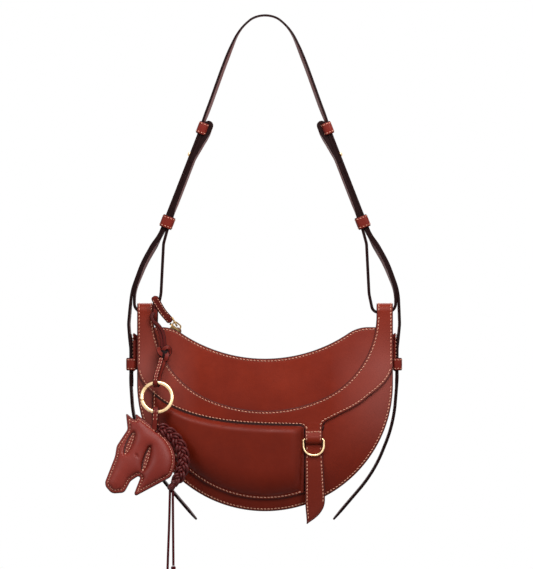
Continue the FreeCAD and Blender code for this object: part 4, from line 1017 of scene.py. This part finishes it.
def make_ring_tab():
    """The end of the yoke's drop, folded round the D-ring's bar: the fold's line, carried across it."""
    fold = smooth_line([(-121, 9.95), (-126, 10.05), (-130.4, 10.35), (-134.2, 12.3), (-137.2, 14.1),
                        (-140.6, 14.3), (-143.3, 13.0), (-144.4, 11.0), (-143.4, 9.6), (-141.6, 9.2)], 0.5)
    x = DROP_X + DROP_HALF * np.linspace(-1, 1, 25)
    y2 = np.broadcast_to(fold[:, :1], (len(fold), len(x)))
    x2 = np.broadcast_to(x, y2.shape)
    d = DROP_HALF - np.abs(x2 - DROP_X)
    p = front(x2, y2, fold[:, 1:] + dome(x2, np.maximum(y2, -140)) + worked(d, 1.9))
    o = sheet("ring_tab_leather", p, OUT_FRONT, 1.3, "bag", [CALF, PAINT], edge=wear_and_shade_value(d), bevel=0.35)
    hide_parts("ring_tab")
    rise = fold[(fold[:, 0] < -124.5) & (np.arange(len(fold)) < len(fold) * 0.72)]
    for at in (44.9, 59.7):
        q = front(np.full(len(rise), at), rise[:, 0], rise[:, 1] + dome(at, rise[:, 0]) - 0.2)
        sew("bag", q, OUT_FRONT)
    cx = np.linspace(45.2, 59.4, 30)
    sew("bag", front(cx, -131.2 + 0.05 * (cx - 52), 10.5 + dome(cx, -131.0)), OUT_FRONT, pitch=3.2)


TAB_Y = np.array([-133.0, -160.0, -185.0, -200.0, -207.0, -212.0, -217.0, -221.5, -225.5, -228.6, -230.4])
TAB_RIGHT = np.array([61.4, 62.4, 63.8, 64.5, 64.3, 63.2, 60.6, 57.0, 52.4, 48.0, 45.4])


def tab_level(x, y):
    """Height of the hanging tab's face: flat on the panel at its root, proud lower down, its tip lifting."""
    lift = 0.35 * ease((-158 - y) / 12) + 1.5 * ease((-190 - y) / 45) ** 2
    return FACE + 2.05 + lift + dome(x, np.maximum(y, -150))


def make_hanging_tab():
    """The hanging tab: rows between a straight left edge and a right edge that curves in to the tip."""
    tip = 0.7 + 0.3 * np.sin(np.linspace(0, np.pi / 2, 44))[1:]
    y = TAB_Y[0] + (TAB_Y[-1] - TAB_Y[0]) * np.concatenate([np.linspace(0, 0.7, 46), tip])
    right = through(-TAB_Y, TAB_RIGHT, -y)
    left = 43.2 + 1.6 * ease((-205 - y) / 26)
    x = left[:, None] + (right - left)[:, None] * crowd(27)
    y2 = np.broadcast_to(y[:, None], x.shape)
    slope = np.gradient(right, y)[:, None]
    d = np.minimum(x - left[:, None], (right[:, None] - x) / np.sqrt(1 + slope ** 2))
    d = np.minimum(d, y2 - TAB_Y[-1] + 0.2)
    p = front(x, y2, tab_level(x, y2) + worked(d, 2.0))
    o = sheet("hanging_tab_leather", p, OUT_FRONT, 1.9, None, [CALF, PAINT], edge=wear_and_shade_value(d))
    tuple(front(52.3, -157.5, 9.0))
    tuple(front(52.3, -164.0, 9.0))
    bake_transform(o)
    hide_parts("tab_root", "hanging_tab")
    inset, fold = 2.1, -160.5
    inner = moved(np.stack([right, y], -1), -inset)
    for line, end in ((np.stack([left + inset, y], -1), -226.0), (inner, -208.0)):
        for body, keep in (("bag", (line[:, 1] > fold) & (line[:, 1] < -146)),
                           ("hanging_tab", (line[:, 1] <= fold) & (line[:, 1] > end))):
            q = line[keep]
            sew(body, front(*q.T, tab_level(*q.T) - 0.25), OUT_FRONT)


make_ring_tab()
make_hanging_tab()


# Zip

def on_mouth(r, a, w, place):
    """Points along the mouth's arc: radius r and angle a from its centre, w out of the panel's plane."""
    x, y = r * np.sin(a), MOUTH_Y - r * np.cos(a)
    return place(x, y, w + dome(x, y))


def make_zip(side, place, out):
    """One side of the zip: its cloth tape, and teeth as small chamfered blocks along the tape's edge."""
    a = np.radians(np.linspace(-36.9, 36.9, 120))
    tape = on_mouth(np.linspace(159.0, 169.0, 6)[:, None], a, 4.7, place)
    o = sheet("zip_tape_%s_cloth" % side, tape, -out, 0.9, "bag", [TAPE, TAPE], bevel=0)
    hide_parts("zip_tape_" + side)
    n, row, half_l, half_w = 74, 160.6, 0.85, 1.5
    a = np.radians(np.linspace(-36.4, 36.4, n))[:, None]
    corners = np.array([[-1, -1], [1, -1], [1, 1], [-1, 1]])
    rings = [(0.4, -0.9), (1.0, -0.63), (1.0, 0.54), (0.55, 0.855)]
    local = np.concatenate([np.insert(corners * [half_l * g, half_w * g], 2, h, axis=1) for g, h in rings])
    v = on_mouth(row + local[:, 1], a + local[:, 0] / row, 2.9 + local[:, 2], place)
    quads = grid_faces(4, 4, ring=True)
    quads = np.concatenate([quads, [[3, 2, 1, 0], [12, 13, 14, 15]]])
    flip = quads[:, ::-1] if place is front else quads
    flip = (flip[None] + np.arange(n)[:, None, None] * len(local)).reshape(-1, 4)
    o = piece("zip_teeth_" + side, v, flip, "bag", [GILT])
    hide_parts("zip_chain_" + side)


make_zip("front", front, OUT_FRONT)
make_zip("back", back, OUT_BACK)


def make_zip_end(side, s):
    """The leather end of the zip under an ear: a tongue between the panels, round at its inner end."""
    inner = 111.5
    x = s * (inner + 23.4 * crowd(22))
    end_y = 6.5 - 2.2 * np.clip(1 - (np.abs(x) - inner) / 4.0, 0, 1) ** 2
    v = np.linspace(-1, 1, 15)[:, None]
    z = -339.0 + 0.35 * (1 - v ** 2) + 0 * x
    p = upright(np.broadcast_to(x, z.shape), z, v * end_y)
    o = sheet("zip_end_%s_leather" % side, p, (0, 0, 1), 2.0, "bag", [CALF_THONG, PAINT])
    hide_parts("zip_end_" + side)


make_zip_end("left", -1)
make_zip_end("right", 1)


def make_puller():
    """The zip's leather puller: a band carried over the bail to its tip, round at both ends, a stitched row
    along each side."""
    line = smooth_line([(-101.4, -2.4, -330.4), (-104.6, -5.0, -326.4), (-110.2, -10.2, -319.6),
                        (-115.0, -14.8, -311.6), (-118.4, -18.2, -305.4), (-119.2, -19.2, -302.4)], 0.8)
    s = lengths(line)
    t = np.gradient(line, axis=0)
    across = unit(np.stack([t[:, 2], 0 * s, -t[:, 0]], -1))
    face = unit(np.cross(t, across))
    face *= -np.sign(face[:, 1:2])
    near = np.minimum(s, s[-1] - s)
    wide = np.sqrt(np.clip(1 - (1 - np.clip(near / 3.2, 0, 1)) ** 2, 0.02, 1))
    profile, cut = slab_profile(8.0, 2.3)
    o = carried("zip_puller_leather", line * MM, across, profile, cut, "zip_pull", [CALF_THONG, PAINT],
                scale=np.stack([wide, 0.55 + 0.45 * wide + 0.5 * np.exp(-((s - 8) / 3) ** 2)], -1))
    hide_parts("zip_puller")
    run = near > 2.5
    for side in (-2.5, 2.5):
        p = (line[run] + side * across[run] + 1.15 * face[run]) * MM
        sew("zip_pull", p, face[run], pitch=FINE_PITCH, length=2.4, thick=0.45)


make_puller()


# Charm

def tube_profile(wide, deep, n):
    """An oval section of n points."""
    a = np.arange(n) * 2 * np.pi / n
    return np.stack([np.cos(a) * wide / 2, np.sin(a) * deep / 2], -1)


def trefoil(n):
    """A closed three-lobed knot of n points as x, y and w: twice round, three times through."""
    a = np.linspace(0, 2 * np.pi, n, endpoint=False)
    return np.sin(a) + 2 * np.sin(2 * a), np.cos(a) - 2 * np.cos(2 * a), -np.sin(3 * a)


def ball(cols, rows, reach):
    """A ball of radius 1 as across, up and deep values with its faces: rings up to the latitude reach, in
    radians, and a flat cap at each pole."""
    u, v = np.meshgrid(np.linspace(0, 2 * np.pi, cols + 1)[:-1], np.linspace(-reach, reach, rows))
    cap = np.arange(cols)[None]
    faces = [grid_faces(rows, cols, ring=True)[:, ::-1], cap, cap[:, ::-1] + (rows - 1) * cols]
    return np.cos(v) * np.cos(u), np.sin(v), np.cos(v) * np.sin(u), faces


CHARM_X = np.array([1.0, 0.0, 0.0])
CHARM_OUT = np.array([0.0, -math.cos(CHARM_TILT), math.sin(CHARM_TILT)])


def sew_band(body, run, apart, lift, thick):
    """A stitched row at each side of a charm band's middle line, on its front."""
    for dx in (-apart, apart):
        sew(body, charm(run[:, 0] + dx, run[:, 1], run[:, 2] + lift), CHARM_OUT, pitch=FINE_PITCH, length=2.3,
            thick=thick)


def make_thong():
    """The thong: a band round the strap beside the ear, its two strands down to the knot, the knot as one
    band laid in a three-lobed knot over a core, and a band from the knot round the gate ring and back."""
    band, cut = slab_profile(5.2, 2.2)
    a = np.linspace(0, 2 * np.pi, 72, endpoint=False)
    ring = upright(-118.2, AXIS_Z + THONG_R * np.sin(a), THONG_R * np.cos(a))
    o = carried("thong_turn", ring, (1, 0, 0), band, cut, "charm_thong", [CALF_THONG, PAINT], closed=True)
    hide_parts("thong_loop")
    left = [(-3.5, 0, 0.4), (-6.1, -4, 0.9), (-5.4, -8, 1.3), (-2.0, -13, 1.3), (2.0, -20, 0.9),
            (4.2, -29, 0.6), (6.2, -42, 0)]
    right = [(-2.0, -11.5, 1.8), (1.8, -15.5, 1.9), (5.6, -21.5, 1.7), (7.7, -31, 1.2), (8.0, -42, 0)]
    # Both strands are in the darker calf: painted shade.
    for name, pts in (("thong_strand_left", left), ("thong_strand_right", right)):
        q = smooth_line(pts, 1.0)
        carried(name, charm(*q.T), CHARM_X, band, cut, "charm_thong", [CALF_PAINTED_SHADE, PAINT],
                scale=np.full((len(q), 2), 0.72))
    knot_x = 7.5
    x, y, w = trefoil(150)
    line = charm(knot_x + 2.15 * x, -45.2 + 2.75 * y, 2.5 * w)
    lace, lace_cut = slab_profile(5.0, 2.2)
    knot = carried("thong_knot_band", line, np.cross(round_way(line), CHARM_OUT), lace, lace_cut,
                   "charm_thong", [CALF_THONG, PAINT], closed=True)
    x, y, w, faces = ball(24, 12, 1.35)
    # The core is in the edge paint's near black: painted shade in the gaps between the knot's bands.
    piece("thong_knot_core", charm(knot_x + 5.6 * x, -46.6 + 7.0 * y, 3.0 * w), faces, "charm_thong", [PAINT])
    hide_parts("thong_knot")
    legs = smooth_line([(4.4, -50.5, 0.8), (2.6, -58, 1.6), (-0.4, -68, 3.0), (-1.9, -75.5, 4.0),
                        (-1.9, -80.2, 3.0), (-1.0, -82.0, 0.0), (0.2, -80.0, -3.0), (1.2, -75.0, -3.8),
                        (3.2, -66, -2.0), (6.6, -57, 0.0), (9.4, -50.5, 0.4)], 0.8)
    leg_band, leg_cut = slab_profile(5.2, 2.0)
    o = carried("thong_legs_band", charm(*legs.T), CHARM_X, leg_band, leg_cut, "charm_thong",
                [CALF_THONG, PAINT])
    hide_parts("thong_legs")
    run = legs[np.arange(len(legs)) < len(legs) * 0.4]
    sew_band("charm_thong", run, 1.2, 0.95, 0.4)


make_thong()

HEAD_TOP = -110.2
HEAD = ((-33.6, -1.1, 1), (-22.6, -10.6, 1.5), (-23.3, -1.7, 1), (-6.4, -15.0, 12), (3.4, -22.4, 20),
        (11.4, -30.2, 20), (17.0, -39.4, 20), (19.8, -49.6, 20), (19.4, -60.0, 20), (15.2, -71.6, 9),
        (-25.7, -94.0, 2), (-16.0, -67.9, 2), (-28.0, -75.8, 8), (-34.9, -88.7, 6), (-48.2, -89.8, 8),
        (-56.5, -80.1, 8), (-44.9, -49.0, 30), (-43.3, -37.8, 14), (-31.6, -19.5, 6))
EYE_SLOT = np.array([[-24.7, -22.6], [-34.7, -48.0]])
THROAT_SLOT = np.array([[-7.4, -38.4], [-15.7, -66.6]])
BUTTON = (-21.7, -49.5)
SLOTS = ((EYE_SLOT, 3.6), (THROAT_SLOT, 3.1))
HEAD_SEAM_IN = 2.9
STUFFING_X, STUFFING_Y = -60.0, -98.0


def slot_place(x, y, ends):
    """A point's place along a slot, -1 to 1, and its distance across it in mm."""
    mid, half = ends.mean(0), (ends[0] - ends[1]) / 2
    long = np.linalg.norm(half)
    t = half / long
    return ((x - mid[0]) * t[0] + (y - mid[1]) * t[1]) / long, -(x - mid[0]) * t[1] + (y - mid[1]) * t[0]


def leaf(s, wide):
    """Half width of a leaf-shaped slot."""
    return wide * np.clip(1 - s ** 2, 0, 1) ** 0.75


def head_height(x, y, d, puff):
    """Half thickness of the stuffed head: a narrow sewn rim, the stuffing's rise and a small slanting
    dent. Also each place's edge value, dark at 0: the rim's edge paint, and painted shade on one side of
    each sewn slot, on the slots' floors and in the dent."""
    dark = 0.06 + 0.94 * wear_and_shade_value(d)
    for ends, wide in SLOTS:
        s, q = slot_place(x, y, ends)
        half = leaf(s, wide)
        # Painted shade along one side of each slot.
        shade = np.minimum(1.9 * np.exp(-((q - half * 0.86) / 1.35) ** 2), 1)
        dark = np.minimum(dark, 1 - 0.925 * shade * ease((1.02 - np.abs(s)) / 0.15))
        # Painted shade on the slot's floor, fading out beside it.
        beyond = np.maximum(np.abs(q) - half, (np.abs(s) - 1) * 12)
        dark = np.minimum(dark, 0.3 + 0.7 * ease(beyond / 2.0))
    h = 1.8 + 0.74 * puff - 0.7 * np.clip(1 - d / 1.2, 0, 1) ** 2
    h -= 0.3 * np.exp(-((d - HEAD_SEAM_IN) / 0.6) ** 2)
    dx, dy = x - BUTTON[0], y - BUTTON[1]
    r = np.hypot((dx * 0.83 + dy * 0.55) / 1.3, (-dx * 0.55 + dy * 0.83) / 2.3)
    h -= 1.5 * np.exp(-r ** 2)
    # Painted shade in the dent.
    dark = np.minimum(dark, 0.25 + 0.75 * ease(r / 1.6))
    return np.maximum(h, 0.7), dark


def stuffing(held):
    """Rise of the stuffing on a 1 mm grid: the root of a membrane under even pressure, held down where held
    says so, found by repeated averaging."""
    x, y = np.meshgrid(np.arange(STUFFING_X, 26.0), np.arange(STUFFING_Y, 4.0))
    loose = ~held(np.stack([x.ravel(), y.ravel()], -1)).reshape(x.shape)
    u = np.zeros(x.shape)
    for _ in range(900):
        mean = (np.roll(u, 1, 0) + np.roll(u, -1, 0) + np.roll(u, 1, 1) + np.roll(u, -1, 1)) / 4
        u = np.where(loose, mean + 0.25, 0.0)
    return np.sqrt(u)


def read_grid(u, x, y):
    """A stuffing grid's value between its points."""
    fx = np.clip(x - STUFFING_X, 0, u.shape[1] - 1.001)
    fy = np.clip(y - STUFFING_Y, 0, u.shape[0] - 1.001)
    i, j = fy.astype(int), fx.astype(int)
    a, b = fy - i, fx - j
    return (u[i, j] * (1 - a) * (1 - b) + u[i + 1, j] * a * (1 - b)
            + u[i, j + 1] * (1 - a) * b + u[i + 1, j + 1] * a * b)


def behind_it(h):
    """Half thickness of the head's back where its front has h: flatter where the front is full."""
    return np.minimum(h, 2.4 + 0.45 * h)


def make_head():
    """The stuffed head: its outline filled with an even lattice, both covers at the head's half thickness,
    joined by a painted rim."""
    first = ((np.array(HEAD[0][:2]) + np.array(HEAD[1][:2])) / 2).tolist()
    rim = bent([first, *HEAD[1:], HEAD[0], first], 0.8)[:-1]
    gx, gy = np.meshgrid(np.arange(-60, 25, 0.85), np.arange(-97, 2, 0.74))
    gx = gx + np.where(np.arange(gx.shape[0])[:, None] % 2 == 0, 0.0, 0.425)
    lattice = np.stack([gx.ravel(), gy.ravel()], -1)
    a, b = rim, np.roll(rim, -1, 0)
    ab = b - a

    def within(p):
        """Which points lie inside the outline: a level ray from them meets it an odd number of times."""
        px, py = p[:, :1], p[:, 1:]
        across = (a[:, 1] > py) != (b[:, 1] > py)
        meet = a[:, 0] + (py - a[:, 1]) * ab[:, 0] / np.where(ab[:, 1] == 0, 1e-9, ab[:, 1])
        return (np.sum(across & (px < meet), 1) % 2) == 1

    def gap(p):
        """Distance of points from the outline's nearest side."""
        t = np.clip(np.sum((p[:, None] - a) * ab, -1) / np.maximum(np.sum(ab * ab, -1), 1e-12), 0, 1)
        return np.linalg.norm(p[:, None] - a - t[..., None] * ab, axis=-1).min(1)

    def held(p):
        """Which points are sewn down: those outside, the rim and the two slots."""
        down = ~within(p) | (gap(p) < 3.2)
        for ends, wide in SLOTS:
            s, q = slot_place(p[:, 0], p[:, 1], ends)
            down |= (np.abs(s) < 1) & (np.abs(q) < leaf(s, wide) + 0.3)
        return down

    puffed = stuffing(held)
    lattice = lattice[within(lattice)]
    lattice = lattice[gap(lattice) > 0.5]
    flat = np.concatenate([rim, lattice])
    edges = [(k, (k + 1) % len(rim)) for k in range(len(rim))]
    verts, _, tris, _, _, _ = delaunay_2d_cdt([tuple(p) for p in flat.tolist()], edges, [], 1, 1e-6)
    flat = np.array([tuple(v) for v in verts])
    tris = np.array(tris)
    h, dark = head_height(*flat.T, gap(flat), read_grid(puffed, *flat.T))
    k = len(flat)
    up = HEAD_TOP + flat[:, 1]
    p = np.concatenate([charm(flat[:, 0], up, h), charm(flat[:, 0], up, -behind_it(h))])
    area = np.cross(flat[tris[:, 1]] - flat[tris[:, 0]], flat[tris[:, 2]] - flat[tris[:, 0]])
    tris = np.where((area > 0)[:, None], tris, tris[:, ::-1])
    m = len(rim)
    j = np.arange(m)
    turn = np.sum(rim[:, 0] * np.roll(rim[:, 1], -1) - rim[:, 1] * np.roll(rim[:, 0], -1)) > 0
    side = np.stack([j, j + k, (j + 1) % m + k, (j + 1) % m], -1)
    side = side if turn else side[:, ::-1]
    o = piece("horse_head_leather", p, [tris, tris[:, ::-1] + k, side], "horse_head", [CALF_HEAD, PAINT],
              face_mat=np.concatenate([np.zeros(2 * len(tris)), np.ones(m)]).astype(int),
              edge=np.concatenate([dark, dark]))
    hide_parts("head_front", "head_back", "head_core")

    def sew_head(line, pitch=3.4):
        """A stitched row along a line of the head, on both covers."""
        h, _ = head_height(*line.T, gap(line), read_grid(puffed, *line.T))
        for w, level in ((1, h), (-1, behind_it(h))):
            sew("horse_head", charm(line[:, 0], HEAD_TOP + line[:, 1], w * (level - 0.1)), w * CHARM_OUT,
                pitch=pitch, length=2.5, thick=0.48)

    ring = moved(np.concatenate([rim[-6:], rim, rim[:6]]), HEAD_SEAM_IN if turn else -HEAD_SEAM_IN)[6:-5]
    ring = ring[gap(ring) > 2.6]
    jump = np.linalg.norm(np.diff(ring, axis=0), axis=1) > 2.5
    for run in np.split(ring, np.flatnonzero(jump) + 1):
        if len(run) > 4:
            sew_head(run)
    for ends, wide in SLOTS:
        s = np.linspace(-0.96, 0.96, 60)
        mid, half = ends.mean(0), (ends[0] - ends[1]) / 2
        normal = np.array([-half[1], half[0]]) / np.linalg.norm(half)
        for sign in (-1, 1):
            line = mid + s[:, None] * half + (leaf(s, wide) * (0.38 * sign - 0.22))[:, None] * normal
            sew_head(line, 3.2)


make_head()


def make_head_loop():
    """The stitched loop that hangs the head from the ring: up the front, over the wire, down the back."""
    q = smooth_line([(-3.0, -131.5, 0.9), (-2.8, -127, 2.0), (-2.3, -121, 3.6), (-1.8, -115, 4.0),
                     (-1.5, -110.2, 4.0), (-1.5, -106.4, 2.2), (-1.5, -106.0, -1.2), (-1.5, -109.4, -3.9),
                     (-1.8, -116, -3.7), (-2.6, -124, -2.4), (-3.0, -131.5, -0.9)], 0.7)
    band, cut = slab_profile(6.0, 1.8)
    o = carried("head_loop_band", charm(*q.T), CHARM_X, band, cut, "horse_head", [CALF_THONG, PAINT])
    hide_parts("head_loop")
    run = q[q[:, 2] > 3.4]
    sew_band("horse_head", run, 1.8, 0.9, 0.42)


make_head_loop()

MANE = ((1.6, -17.4), (10.4, -21.6), (19.4, -29.4), (25.6, -39.8), (28.2, -51.0), (27.6, -62.0),
        (23.4, -72.0), (17.6, -79.8))
MANE_KNOT = (15.6, HEAD_TOP - 82.9)


def make_mane():
    """The plaited mane: three strands of two cords, each swinging across the mane's line as a sine and
    through it as a sine of twice the rate, a third of a turn apart; then a cord wound round a core where
    the plait ends."""
    line = smooth_line(MANE, 0.7)
    s = lengths(line)
    t = unit(np.gradient(line, axis=0))
    taper = 1 - 0.45 * ease((s - s[-1] + 12) / 12)
    for k in range(6):
        turn = 2 * np.pi * (s / 26.0 + (k // 2) / 3)
        off, deep = 4.1 * np.sin(turn) * taper, 2.5 * np.sin(2 * turn) * taper
        p = charm(line[:, 0] - off * t[:, 1], HEAD_TOP + line[:, 1] + off * t[:, 0], deep + 0.8)
        sideways = unit(np.cross(np.gradient(p, axis=0), CHARM_OUT))
        p = p + (1.55 if k % 2 else -1.55) * MM * taper[:, None] * sideways
        # The cords' edge value is painted shade: darker where a strand lies deep in the plait.
        o = carried("mane_cord_%d" % (k + 1), p, sideways, tube_profile(3.2, 3.2, 12), np.zeros(12),
                    "horse_head", [CALF_MANE, PAINT], shade=0.08 + 0.92 * ease((deep + 2.4) / 3.4))
    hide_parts("mane_braid")
    a = np.linspace(0, 4 * 2 * np.pi, 140)
    up = unit(line[-1] - line[-6])
    h = (a / a[-1] - 0.5) * 6.4
    r = 2.9 * np.sqrt(1 - (h / 5.2) ** 2)
    x, y = MANE_KNOT
    p = charm(x + h * up[0] - r * np.cos(a) * up[1], y + h * up[1] + r * np.cos(a) * up[0], r * np.sin(a))
    axis = charm(up[0], up[1], 0) - charm(0, 0, 0)
    o = carried("mane_knot_wrap", p, axis, tube_profile(2.3, 2.2, 10), np.zeros(10), "horse_head",
                [CALF_MANE, PAINT])
    across, rise, deep, faces = ball(20, 9, 1.4)
    core = charm(x + 2.6 * across, y + 3.8 * rise, 2.6 * deep)
    piece("mane_knot_core", core, faces, "horse_head", [CALF_MANE])
    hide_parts("mane_knot")


make_mane()

TASSEL_TOP = np.array([-100.4, -59.21, -507.36])


def make_tassel(side, dx, drift, long):
    """A hanging waxed cord on the mane's knot, along the route of its solid, with a knot at its end."""
    top = TASSEL_TOP + [dx, 0, -3.6]
    route = [top + [drift * a, 0, -long * b] for a, b in ((0, 0), (0.2, 0.3), (0.7, 0.68), (1, 1))]
    curve = bpy.data.curves.new("tassel_cord_" + side, "CURVE")
    curve.dimensions = "3D"
    spline = curve.splines.new("NURBS")
    spline.points.add(len(route) - 1)
    for q, p in zip(spline.points, route):
        q.co = tuple(p * MM) + (1.0,)
    spline.order_u = 3
    spline.use_endpoint_u = True
    curve.bevel_depth, curve.bevel_resolution = 1.3 * MM, 4
    curve.resolution_u, curve.use_fill_caps = 24, True
    curve.materials.append(CORD)
    o = placed("tassel_cord_" + side, curve)
    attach(o, "horse_head")
    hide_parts("tassel_" + side)
    end = route[-1] + [0, 0, -3.0]
    x, y, w = trefoil(110)
    p = (end + np.stack([0.55 * x, 0.95 * w, 0.72 * y], -1)) * MM
    knot = carried("tassel_knot_%s_cord" % side, p, np.cross(round_way(p), (0, 1, 0)),
                   tube_profile(2.3, 2.3, 10), np.zeros(10), "horse_head", [CORD, CORD], closed=True)
    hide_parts("tassel_knot_" + side)


make_tassel("left", -1.5, -3.0, 100.0)
make_tassel("right", 1.6, 0.6, 80.5)

finish_sewing()

# Brass pieces, shown as their solids, and the leather cap on the slider

for metal in ("left_stud", "right_stud", "d_ring", "charm_ring", "ring_gate", "gate_pin", "zip_slider",
              "zip_bail"):
    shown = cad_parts[metal]
    if not shown.material_slots:
        shown.data.materials.append(GILT)
    for material_slot in shown.material_slots:
        material_slot.material = DARK_BRASS if metal.startswith("zip") else GILT


def make_slider_cap():
    """A small leather cap on the slider's end: a flattened ball."""
    x, z, y, faces = ball(24, 14, 1.45)
    p = upright(-94.6 + 4.4 * x, -340.4 + 4.2 * z, 2.6 * y)
    piece("slider_cap_leather", p, [f[:, ::-1] for f in faces], "zip_slider", [CALF_MANE])


make_slider_cap()


# Camera, floor and light

CAMERA_FAR, VIEW_HIGH, SENSOR = 8.0, 0.6145, 24.0
camera = bpy.data.cameras.new("camera")
camera.sensor_fit, camera.sensor_height = "VERTICAL", SENSOR
camera.lens = SENSOR * CAMERA_FAR / VIEW_HIGH
camera.clip_end = 50.0
camera_at = placed("camera", camera)
camera_at.location = (0.0016, -CAMERA_FAR, -0.290)
camera_at.rotation_euler = (math.pi / 2, 0, 0)
bpy.context.scene.camera = camera_at


def make_floor():
    """A pale floor under the hanging bag: a square grid 20 mm below it, fading out towards its edge."""
    n, half, below = 41, 0.75, 0.02
    x, y = np.meshgrid(np.linspace(-half, half, n), np.linspace(-half, half, n))
    p = np.stack([x, y, np.full(x.shape, CAD_BOX[0][2] - below)], -1)
    mesh = bpy.data.meshes.new("floor")
    mesh.from_pydata(p.reshape(-1, 3).tolist(), [], grid_faces(n, n)[:, ::-1].tolist())
    m, t, bsdf, at = nodes_of("floor_paper")
    paper = ramp(t, noise(t, at, 30.0), [(0.3, grey(0.82)), (0.7, grey(0.86))])
    t.links.new(mixed(t, seen(t), grey(0.25), paper), bsdf.inputs["Base Color"])
    bsdf.inputs["Roughness"].default_value = 0.9
    far = node(t, "ShaderNodeVectorMath", {0: at}, operation="LENGTH").outputs["Value"]
    fade = ramp(t, far, [(0.6, grey(1.0)), (0.73, grey(0.0))])
    t.links.new(fade, bsdf.inputs["Alpha"])
    mesh.materials.append(m)
    o = placed("floor", mesh)


make_floor()


def lamp(name, at, aim, size, power):
    """A soft square lamp that faces a point."""
    data = bpy.data.lights.new(name, "AREA")
    data.energy, data.shape, data.size = power, "SQUARE", size
    o = placed(name, data)
    o.location = at
    way = np.array(aim, float) - np.array(at, float)
    yaw = math.atan2(way[1], way[0]) - math.pi / 2
    pitch = math.atan2(way[2], math.hypot(way[0], way[1]))
    o.rotation_euler = (math.pi / 2 + pitch, 0, yaw)


MIDDLE = (0.0, 0.0, -0.4)
lamp("top_lamp", (0.12, -0.44, 0.28), MIDDLE, 0.55, 6.6)
lamp("right_lamp", (1.3, -1.6, 0.6), MIDDLE, 0.8, 13.0)
lamp("left_lamp", (-1.35, -1.6, 0.6), MIDDLE, 0.8, 10.0)
lamp("back_lamp", (0.2, 1.9, 0.9), MIDDLE, 1.4, 24.0)

world = bpy.data.worlds.new("studio")
bpy.context.scene.world = world
world.use_nodes = True
sky = world.node_tree
backdrop = sky.nodes["Background"]
sky.links.new(ramp(sky, seen(sky), [(0.0, grey(0.14)), (1.0, grey(1.0))]), backdrop.inputs["Color"])

bpy.context.scene.view_settings.view_transform = "Standard"

bpy.context.view_layer.update()
